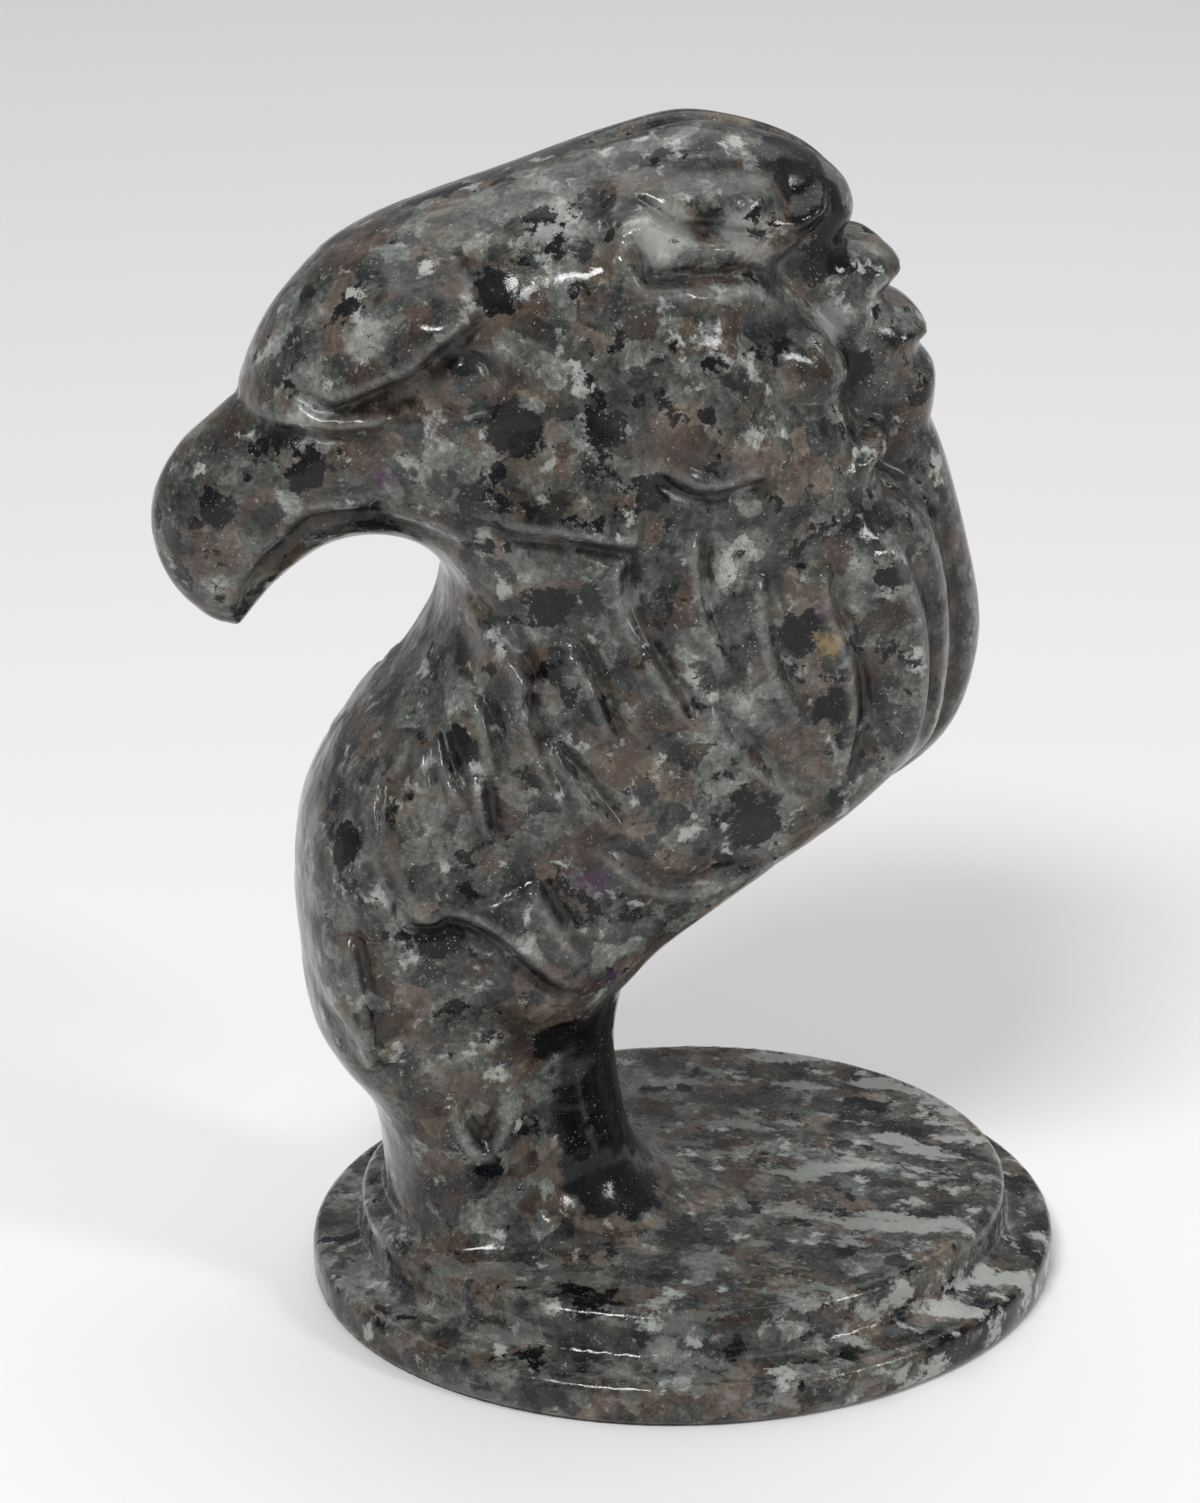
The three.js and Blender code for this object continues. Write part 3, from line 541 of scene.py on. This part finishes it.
def faces_round_edges(filled, number):
    """A four-sided face round each grid edge that meets the surface, given by the four cells' numbers."""
    nx, ny, nz = filled.shape
    faces = []
    for axis in range(3):
        ahead = np.eye(3, dtype=int)[axis]
        du, dv = np.eye(3, dtype=int)[(axis + 1) % 3], np.eye(3, dtype=int)[(axis + 2) % 3]
        near = filled[: nx - ahead[0], : ny - ahead[1], : nz - ahead[2]]
        far = filled[ahead[0] :, ahead[1] :, ahead[2] :]
        edges = np.argwhere(near != far)
        edges = edges[(edges > 0).all(1) & (edges < np.array([nx - 1, ny - 1, nz - 1])).all(1)]
        ring = [number[tuple((edges - a * du - b * dv).T)] for a, b in ((0, 0), (1, 0), (1, 1), (0, 1))]
        ring = np.stack(ring, 1)
        filled_near = near[tuple(edges.T)]
        ring[~filled_near] = ring[~filled_near][:, ::-1]
        faces.append(ring)
    return np.vstack(faces)


def slope(points):
    """How fast the field rises along x, y and z."""
    out = np.empty(points.shape)
    for axis in range(3):
        move = np.zeros(3)
        move[axis] = SLOPE_STEP
        out[:, axis] = (field(*(points + move).T) - field(*(points - move).T)) / (2 * SLOPE_STEP)
    return out


def settle(points):
    """The points moved onto the surface in small steps, never far from where they started."""
    start = points.copy()
    for _ in range(SETTLE_ROUNDS):
        s = slope(points)
        steep = np.maximum((s**2).sum(1), LEAST_SLOPE)
        move = (field(*points.T) / steep)[:, None] * s
        length = np.linalg.norm(move, axis=1, keepdims=True) + TINY
        points = points - move * np.minimum(1, MOST_MOVE * CELL / length)
    away = points - start
    far = np.linalg.norm(away, axis=1, keepdims=True) + TINY
    return start + away * np.minimum(1, MOST_MOVE_IN_ALL * CELL / far)


def make_carving():
    """The finely carved stone, which stands for the CAD solid."""
    points, quads = skin()
    normals = slope(points)
    normals /= np.linalg.norm(normals, axis=1, keepdims=True) + TINY
    points = np.clip(points, low + BOX_CLEARANCE, high - BOX_CLEARANCE)
    mesh = bpy.data.meshes.new("carved_stone")
    mesh.from_pydata((points * MM).tolist(), [], quads.tolist())
    mesh.polygons.foreach_set("use_smooth", np.ones(len(mesh.polygons), bool))
    # The painted shade and painted highlight lines, on surfaces that face the side, above the plinth
    marks = read_maps(points[:, 0] - SHIFT_X, points[:, 2] - SHIFT_Z)[:, -2:]
    on_side = np.clip(np.abs(normals[:, 1]) * SIDE_FACING, 0, 1) * (points[:, 2] > LINES_FROM)
    for name, mark in zip(("painted_shade_lines", "edge"), marks.T):
        attribute = mesh.attributes.new(name, "FLOAT", "POINT")
        attribute.data.foreach_set("value", (mark * on_side).astype(np.float32))
    mesh.normals_split_custom_set_from_vertices(normals.tolist())
    stone = bpy.data.objects.new("carved_stone", mesh)
    bpy.context.scene.collection.objects.link(stone)
    return stone


class Nodes:
    """Short ways to add and join shader nodes."""

    def __init__(self, material):
        material.use_nodes = True
        self.tree = material.node_tree
        self.tree.nodes.clear()

    def add(self, kind, **values):
        node = self.tree.nodes.new(kind)
        for name, value in values.items():
            setattr(node, name, value)
        return node

    def surface(self):
        """The shader of the material's surface, joined to its output."""
        out = self.add("ShaderNodeOutputMaterial")
        shader = self.add("ShaderNodeBsdfPrincipled")
        self.put(shader.outputs[0], out.inputs[0])
        return shader

    def put(self, value, socket):
        if isinstance(value, bpy.types.NodeSocket):
            self.tree.links.new(value, socket)
        else:
            socket.default_value = value

    def split(self, colour):
        node = self.add("ShaderNodeSeparateColor")
        self.put(colour, node.inputs[0])
        return node.outputs[:3]

    def shifted(self, place, noise, reach):
        """A place moved about by a noise colour, up to reach."""
        node = self.add("ShaderNodeVectorMath", operation="MULTIPLY_ADD")
        self.put(noise, node.inputs[0])
        node.inputs[1].default_value = (reach, reach, reach)
        self.put(place, node.inputs[2])
        return node.outputs[0]

    def math(self, operation, a, b, clamp=False):
        node = self.add("ShaderNodeMath", operation=operation, use_clamp=clamp)
        self.put(a, node.inputs[0])
        self.put(b, node.inputs[1])
        return node.outputs[0]

    def total(self, *parts):
        """The sum of values, each times its weight."""
        products = [self.math("MULTIPLY", value, weight) for value, weight in parts]
        result = products[0]
        for product in products[1:]:
            result = self.math("ADD", result, product)
        return result

    def noise(self, place, scale, detail, rough):
        node = self.add("ShaderNodeTexNoise")
        self.put(place, node.inputs["Vector"])
        node.inputs["Scale"].default_value = scale
        node.inputs["Detail"].default_value = detail
        node.inputs["Roughness"].default_value = rough
        return node

    def ramp(self, value, stops):
        """Greys or colours that follow a value, from a list of levels with their grey or colour."""
        node = self.add("ShaderNodeValToRGB")
        elements = node.color_ramp.elements
        for _ in range(len(stops) - len(elements)):
            elements.new(0.5)
        for element, (place, colour) in zip(elements, stops):
            element.position = place
            element.color = (*colour, 1) if isinstance(colour, tuple) else (colour, colour, colour, 1)
        self.put(value, node.inputs[0])
        return node.outputs[0]

    def mix(self, share, a, b):
        node = self.add("ShaderNodeMix", data_type="RGBA", blend_type="MIX")
        self.put(share, node.inputs["Factor"])
        self.put(a if isinstance(a, bpy.types.NodeSocket) else (*a, 1), node.inputs[6])
        self.put(b if isinstance(b, bpy.types.NodeSocket) else (*b, 1), node.inputs[7])
        return node.outputs[2]


# Stone colours, linear
GREY_DEEP = (0.009, 0.010, 0.010)
GREY_DARK = (0.026, 0.028, 0.027)
GREY = (0.055, 0.058, 0.051)
GREY_PALE = (0.135, 0.143, 0.13)
BROWN_DARK = (0.038, 0.024, 0.017)
BROWN = (0.115, 0.075, 0.052)
PALE = (0.33, 0.345, 0.32)
BLACK = (0.002, 0.0024, 0.0036)
PURPLE = (0.055, 0.016, 0.058)
OCHRE = (0.3, 0.22, 0.1)
WHITE_SPECK = (0.75, 0.77, 0.75)

# Levels of the stone's tone with their colours, of its brown parts, and where and how far the brown shows
STONE_TONES = [(0.47, GREY_DEEP), (0.56, GREY_DARK), (0.64, GREY), (0.75, GREY_PALE), (0.86, PALE)]
BROWN_TONES = [(0.5, BROWN_DARK), (0.75, BROWN)]
BROWN_LEVELS = [(0.53, 0.0), (0.62, 0.62)]

# What the clouds, the grains and the fine grain add to the stone's tone and to its brown
CLOUD_WEIGHT = 0.66
GRAIN_WEIGHT = 0.17
FINE_WEIGHT = 0.42
BROWN_CLOUD_WEIGHT = 0.8
BROWN_GRAIN_WEIGHT = 0.24

# Noises: scale per mm, detail and roughness
STIRRING = (0.4, 3.0, 0.6)
TEARING = (1.3, 4.0, 0.7)
FINE_GRAIN = (1.6, 6.0, 0.75)
CLOUDS = (0.22, 5.0, 0.62)
BROWN_CLOUDS = (0.14, 3.0, 0.55)
SHREDS = (0.55, 5.0, 0.72)
SPARK_ZONES = (0.3, 3.0, 0.6)
WAVES = (0.22, 2.0, 0.5)
PITS = (2.6, 3.0, 0.6)
STREAK_CLOUDS = (0.25, 4.0, 0.65)
GRAINS_PER_MM = 0.42

# How far at most the stirred and the torn copy of a place are shifted, mm, and how far off a third copy is
STIRRED = 3.4
TORN = 1.5
ELSEWHERE = (71.0, 13.0, 38.0)

# Patches: the noise's scale per mm and detail, the levels at which they start and are full, and their most
PALE_PATCHES = (0.33, 5.0, 0.6, 0.67, 0.85)
PALE_FLECKS = (1.1, 4.0, 0.66, 0.72, 0.55)
BLACK_PATCHES = (0.25, 5.0, 0.6, 0.62, 1.0)
BLACK_GRAINS = (0.75, 4.0, 0.66, 0.68, 1.0)
BLACK_FLECKS = (1.7, 4.0, 0.69, 0.71, 1.0)
SPARKS = (4.5, 2.0, 0.66, 0.72, 1.0)
BLACK_STREAKS = (0.2, 5.0, 0.53, 0.56, 1.0)
PATCH_ROUGHNESS = 0.6
SPARK_LEVELS = [(0.45, 0.1), (0.6, 1.0)]

# Shares of a colour laid over the others
BLACK_SHARE = 0.97
SPARK_SHARE = 0.5
# Shares of the painted shade in the carving's lines and of the painted highlights on the locks' edges
PAINTED_SHADE_SHARE = 0.5
PAINTED_HIGHLIGHT_SHARE = 0.5

# The polish: its roughness, and what the grain, the sparks' zones and the painted shade lines add to it
ROUGHNESS = 0.05
GRAIN_ROUGHNESS = 0.1
ZONE_ROUGHNESS = 0.08
LINE_ROUGHNESS = 0.3
REFRACTION = 1.4
REFLECTION = 0.42
WAVE_HEIGHT = 0.4
PIT_HEIGHT = 0.02

# Streaks in the plinth: full up to 8.4 mm and gone at 9.8 mm. They are a quarter as strong to the left of
# the middle, and full from 18 mm to the right of it.
STREAK_HEIGHT_SCALE = 0.1
STREAK_HEIGHTS = [(0.84, 1.0), (0.98, 0.0)]
STREAK_WIDTH_SCALE = 0.014
STREAK_WIDTHS = [(0.0, 0.25), (0.25, 1.0)]
STREAK_TURN = math.radians(-28)
STREAK_STRETCH = (2.2, 1.0, 1.0)
PALE_STREAK_LEVELS = [(0.41, 1.0), (0.46, 0.0)]
BLACK_STREAK_SHARE = 0.93
PALE_STREAK_SHARE = 0.85

# Kinds of inclusion: colour, its share, and the part of the radius within which it is full
INCLUSION_KINDS = {
    "black": (BLACK, 0.96, 0.9),
    "brown": (BROWN, 0.32, 0.4),
    "pale": (PALE, 0.6, 0.4),
    "purple": (PURPLE, 0.6, 0.4),
    "ochre": (OCHRE, 0.6, 0.4),
}

# How far out an inclusion reaches, as a share of its radius, and how far its edge is torn, mm
INCLUSION_REACH = 1.1
INCLUSION_TEAR = 2.6

# Inclusions on the near side: kind, then x, z and radius on the drawing. The first five pale ones are
# painted highlights, and the large black ones on the column's back are partly painted shade.
INCLUSIONS = [
    ("brown", -21.1, 100.7, 3.4), ("brown", -17.1, 89.5, 3.6), ("brown", -4.7, 89.4, 3.6),
    ("brown", -9.6, 61.4, 3.8), ("brown", -34, 37, 2.6), ("brown", -22, 28, 2.6),
    # The next five pale ones are painted highlights: three on the crown's tuft plates, two in narrow hollows
    # on the neck
    ("pale", -5.6, 107.3, 3.6), ("pale", -14, 107.6, 2.8), ("pale", 1.6, 106.4, 2.8), ("pale", -8.4, 76.4, 2),
    ("pale", -2.2, 76, 1.6), ("pale", 10.4, 97, 2.4), ("pale", -30.5, 99.4, 2.2),
    ("black", -42.8, 83.2, 1.8), ("black", -35.7, 87, 1.6), ("black", -11, 91.3, 1.8),
    ("black", -6.8, 85.9, 2), ("black", -15.3, 75.3, 2.2), ("black", -11.7, 66.1, 1.7),
    ("black", -23.4, 62.4, 2), ("black", -33, 53, 2), ("black", 2.8, 53.8, 2.5),
    ("black", 6.2, 72.3, 2.2), ("black", 7, 111, 3.6), ("black", 9.6, 107.6, 3.4),
    ("black", 11, 104, 2.8), ("black", -18.3, 91.2, 2.6), ("black", -19.1, 102.8, 2.2),
    ("black", 12.6, 93, 2), ("black", -25.2, 44.4, 1.9), ("black", 9.3, 65.1, 2),
    # The last four black ones lie on the column's back and are partly black stone, partly painted shade
    ("black", -14.7, 32.3, 2.2), ("black", -8.8, 33.6, 4), ("black", -8.8, 29, 6.2),
    ("black", -8.6, 23.4, 6.6), ("black", -8, 18, 6.2),
    ("purple", -28.7, 86.5, 1.7), ("purple", -16.6, 67.1, 1.4), ("purple", 8, 74.4, 1.4),
    ("purple", -12.1, 49.9, 1.8), ("purple", -9.9, 39.7, 1.5), ("ochre", 8.5, 71.1, 1.6),
]


# The near side's surface is looked for from this far out to the middle, in steps, mm
SEARCH_FROM = -30
SEARCH_STEPS = 300


def patches(n, place, scale, detail, start, full, most):
    """Share of a colour in patches: 0 below one level of a noise and its most above another."""
    level = n.noise(place, scale, detail, PATCH_ROUGHNESS).outputs["Fac"]
    return n.ramp(level, [(start, 0.0), (full, most)])


def stone_material():
    """Polished mottled stone: cloudy grey-green, brown patches, black grains, clear pale patches."""
    material = bpy.data.materials.new("polished_stone")
    n = Nodes(material)
    shader = n.surface()
    scaled = n.add("ShaderNodeVectorMath", operation="SCALE")
    n.put(n.add("ShaderNodeTexCoord").outputs["Object"], scaled.inputs[0])
    scaled.inputs["Scale"].default_value = 1 / MM
    mm = scaled.outputs[0]
    stirred = n.shifted(mm, n.noise(mm, *STIRRING).outputs["Color"], STIRRED)
    torn = n.shifted(mm, n.noise(mm, *TEARING).outputs["Color"], TORN)
    moved = n.add("ShaderNodeVectorMath", operation="ADD")
    n.put(torn, moved.inputs[0])
    moved.inputs[1].default_value = ELSEWHERE
    elsewhere = moved.outputs[0]

    fine = n.noise(mm, *FINE_GRAIN).outputs["Fac"]
    clouds = n.noise(stirred, *CLOUDS).outputs["Fac"]
    grains = n.add("ShaderNodeTexVoronoi", feature="F1")
    n.put(torn, grains.inputs["Vector"])
    grains.inputs["Scale"].default_value = GRAINS_PER_MM
    grain_tone, grain_brown, _ = n.split(grains.outputs["Color"])
    level = n.total((clouds, CLOUD_WEIGHT), (grain_tone, GRAIN_WEIGHT), (fine, FINE_WEIGHT))
    colour = n.ramp(level, STONE_TONES)

    _, brown_clouds, _ = n.split(n.noise(stirred, *BROWN_CLOUDS).outputs["Color"])
    brown = n.total((brown_clouds, BROWN_CLOUD_WEIGHT), (grain_brown, BROWN_GRAIN_WEIGHT))
    brown_share = n.ramp(brown, BROWN_LEVELS)
    colour = n.mix(brown_share, colour, n.ramp(level, BROWN_TONES))

    colour = n.mix(patches(n, elsewhere, *PALE_PATCHES), colour, PALE)
    colour = n.mix(patches(n, elsewhere, *PALE_FLECKS), colour, PALE)
    shredded = n.shifted(mm, n.noise(mm, *SHREDS).outputs["Color"], 2 * INCLUSION_TEAR)
    colour = add_inclusions(n, colour, shredded)
    black = n.math("MAXIMUM", patches(n, torn, *BLACK_PATCHES), patches(n, torn, *BLACK_GRAINS))
    black = n.math("MAXIMUM", black, patches(n, elsewhere, *BLACK_FLECKS))
    colour = n.mix(n.math("MULTIPLY", black, BLACK_SHARE), colour, BLACK)
    colour = add_streaks(n, colour, mm, torn)

    zones = n.ramp(n.noise(mm, *SPARK_ZONES).outputs["Fac"], SPARK_LEVELS)
    sparks = n.math("MULTIPLY", patches(n, mm, *SPARKS), zones)
    colour = n.mix(n.math("MULTIPLY", sparks, SPARK_SHARE), colour, WHITE_SPECK)

    # Painted shade in the carving's grooves and steps, and painted highlights on the locks' edges
    painted_shade = n.add("ShaderNodeAttribute", attribute_name="painted_shade_lines").outputs["Fac"]
    light = n.add("ShaderNodeAttribute", attribute_name="edge").outputs["Fac"]
    colour = n.mix(n.math("MULTIPLY", painted_shade, PAINTED_SHADE_SHARE, clamp=True), colour, GREY_DEEP)
    # Painted highlight along the locks' edges, broken up by the fine grain
    painted_highlight = n.math("MULTIPLY", light, fine, clamp=True)
    colour = n.mix(n.math("MULTIPLY", painted_highlight, PAINTED_HIGHLIGHT_SHARE, clamp=True), colour, PALE)
    n.put(colour, shader.inputs["Base Color"])

    rough = n.math("ADD", n.math("MULTIPLY", fine, GRAIN_ROUGHNESS), ROUGHNESS)
    rough = n.math("ADD", rough, n.math("MULTIPLY", zones, ZONE_ROUGHNESS))
    rough = n.math("ADD", rough, n.math("MULTIPLY", painted_shade, LINE_ROUGHNESS), clamp=True)
    n.put(rough, shader.inputs["Roughness"])
    shader.inputs["IOR"].default_value = REFRACTION
    shader.inputs["Specular IOR Level"].default_value = REFLECTION

    waves = n.noise(mm, *WAVES).outputs["Fac"]
    pits = n.noise(mm, *PITS).outputs["Fac"]
    bump = n.add("ShaderNodeBump")
    bump.inputs["Strength"].default_value = 1.0
    bump.inputs["Distance"].default_value = MM
    n.put(n.total((waves, WAVE_HEIGHT), (pits, PIT_HEIGHT)), bump.inputs["Height"])
    n.put(bump.outputs[0], shader.inputs["Normal"])
    return material


def add_streaks(n, colour, mm, torn):
    """Longer pale and black streaks in the plinth, strongest towards its right end."""
    apart = n.add("ShaderNodeSeparateXYZ")
    n.put(mm, apart.inputs[0])
    at_plinth = n.ramp(n.math("MULTIPLY", apart.outputs[2], STREAK_HEIGHT_SCALE), STREAK_HEIGHTS)
    at_right = n.ramp(n.math("MULTIPLY", apart.outputs[0], STREAK_WIDTH_SCALE), STREAK_WIDTHS)
    share = n.math("MULTIPLY", at_plinth, at_right)
    stretch = n.add("ShaderNodeMapping", vector_type="TEXTURE")
    n.put(torn, stretch.inputs["Vector"])
    stretch.inputs["Rotation"].default_value = (0, 0, STREAK_TURN)
    stretch.inputs["Scale"].default_value = STREAK_STRETCH
    streaks = stretch.outputs[0]
    black = n.math("MULTIPLY", patches(n, streaks, *BLACK_STREAKS), share)
    colour = n.mix(n.math("MULTIPLY", black, BLACK_STREAK_SHARE), colour, BLACK)
    pale = n.ramp(n.noise(streaks, *STREAK_CLOUDS).outputs["Fac"], PALE_STREAK_LEVELS)
    pale = n.math("MULTIPLY", pale, share)
    return n.mix(n.math("MULTIPLY", pale, PALE_STREAK_SHARE), colour, PALE)


def add_inclusions(n, colour, place):
    """Colours the stone at the inclusions, with torn edges."""
    offset = np.full(3, INCLUSION_TEAR)
    for kind, x, z, radius in INCLUSIONS:
        tint, most, full_within = INCLUSION_KINDS[kind]
        away = n.add("ShaderNodeVectorMath", operation="DISTANCE")
        n.put(place, away.inputs[0])
        away.inputs[1].default_value = surface_place(x, z) + offset
        share = n.add("ShaderNodeMapRange", interpolation_type="SMOOTHSTEP")
        n.put(away.outputs["Value"], share.inputs["Value"])
        share.inputs["From Min"].default_value = radius * INCLUSION_REACH
        share.inputs["From Max"].default_value = radius * full_within
        share.inputs["To Max"].default_value = most
        colour = n.mix(share.outputs["Result"], colour, tint)
    return colour


def surface_place(x, z):
    """The near side's surface at a place of the drawing, in the part's mm."""
    y = np.linspace(SEARCH_FROM, 0, SEARCH_STEPS + 1)
    px, pz = x + SHIFT_X, z + SHIFT_Z
    inside = field(np.full(y.shape, px), y, np.full(y.shape, pz)) < 0
    return np.array([px, y[np.argmax(inside)], pz])


# Camera: the photograph's 1200 by 1503 frame, fitted to the plinth's two rims
PHOTO_SIZE = (1200, 1503)
FOCAL_PIXELS = 3836.5
SENSOR = 36.0
CAMERA_PLACE = np.array([-72.13, -317.27, 182.16])
CAMERA_YAW = math.radians(11.40)
CAMERA_TILT = math.radians(21.857)


def make_camera():
    """The photograph's camera, turned by its yaw and tilted down."""
    data = bpy.data.cameras.new("camera")
    data.sensor_width = SENSOR
    data.sensor_fit = "AUTO"
    data.lens = SENSOR * FOCAL_PIXELS / PHOTO_SIZE[1]
    data.clip_start = 0.01
    data.clip_end = 20
    camera = bpy.data.objects.new("camera", data)
    bpy.context.scene.collection.objects.link(camera)
    level = Vector((math.sin(CAMERA_YAW), math.cos(CAMERA_YAW), 0))
    forward = level * math.cos(CAMERA_TILT) - Vector((0, 0, 1)) * math.sin(CAMERA_TILT)
    right = Vector((math.cos(CAMERA_YAW), -math.sin(CAMERA_YAW), 0))
    up = right.cross(forward)
    turn = Matrix((right, up, -forward)).transposed()
    camera.matrix_world = Matrix.Translation(Vector(CAMERA_PLACE * MM)) @ turn.to_4x4()
    bpy.context.scene.camera = camera


# Floor and lights, in metres and watts. The floor lies just under the part.
FLOOR_HALF = 3.0
FLOOR_DROP = 0.0001
FLOOR_COLOUR = (0.78, 0.765, 0.765, 1)
FLOOR_ROUGHNESS = 0.55
WORLD_COLOUR = (0.96, 0.97, 1.0, 1)
WORLD_STRENGTH = 0.33
CARVING_MIDDLE = (0, 0, 0.06)

# Name, place, aim, size and power
LIGHTS = [
    ("window_left", (-0.3, -0.42, 0.66), CARVING_MIDDLE, (0.26, 0.13), 4.5),
    ("window_right", (0.55, -0.5, 0.42), CARVING_MIDDLE, (0.11, 0.24), 2.3),
    ("ceiling", (0.15, 0.6, 1.2), (0, 0.3, 0), (1.5, 1.1), 8),
]


def make_floor():
    """A wide pale floor, which is only the stage."""
    mesh = bpy.data.meshes.new("floor")
    half = FLOOR_HALF
    corners = [(-half, -half, 0), (half, -half, 0), (half, half, 0), (-half, half, 0)]
    mesh.from_pydata(corners, [], [(0, 1, 2, 3)])
    floor = bpy.data.objects.new("floor", mesh)
    floor.location.z = -FLOOR_DROP
    bpy.context.scene.collection.objects.link(floor)
    material = bpy.data.materials.new("pale_floor")
    shader = Nodes(material).surface()
    shader.inputs["Base Color"].default_value = FLOOR_COLOUR
    shader.inputs["Roughness"].default_value = FLOOR_ROUGHNESS
    mesh.materials.append(material)


def add_light(name, place, aim, size, power):
    """A white lamp with a rectangle's shape, turned towards its aim."""
    data = bpy.data.lights.new(name, "AREA")
    data.shape = "RECTANGLE"
    data.size, data.size_y = size
    data.energy = power
    light = bpy.data.objects.new(name, data)
    light.location = place
    light.rotation_euler = (Vector(aim) - Vector(place)).to_track_quat("-Z", "Y").to_euler()
    bpy.context.scene.collection.objects.link(light)


def make_lights():
    """A soft light from all round, and the lamps."""
    world = bpy.data.worlds.new("studio")
    bpy.context.scene.world = world
    world.use_nodes = True
    background = world.node_tree.nodes["Background"]
    background.inputs[0].default_value = WORLD_COLOUR
    background.inputs[1].default_value = WORLD_STRENGTH
    for light in LIGHTS:
        add_light(*light)
    bpy.context.scene.view_settings.view_transform = "Standard"


stone = make_carving()
stone.data.materials.append(stone_material())
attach(stone, "root")
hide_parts(NODE)
make_camera()
make_floor()
make_lights()
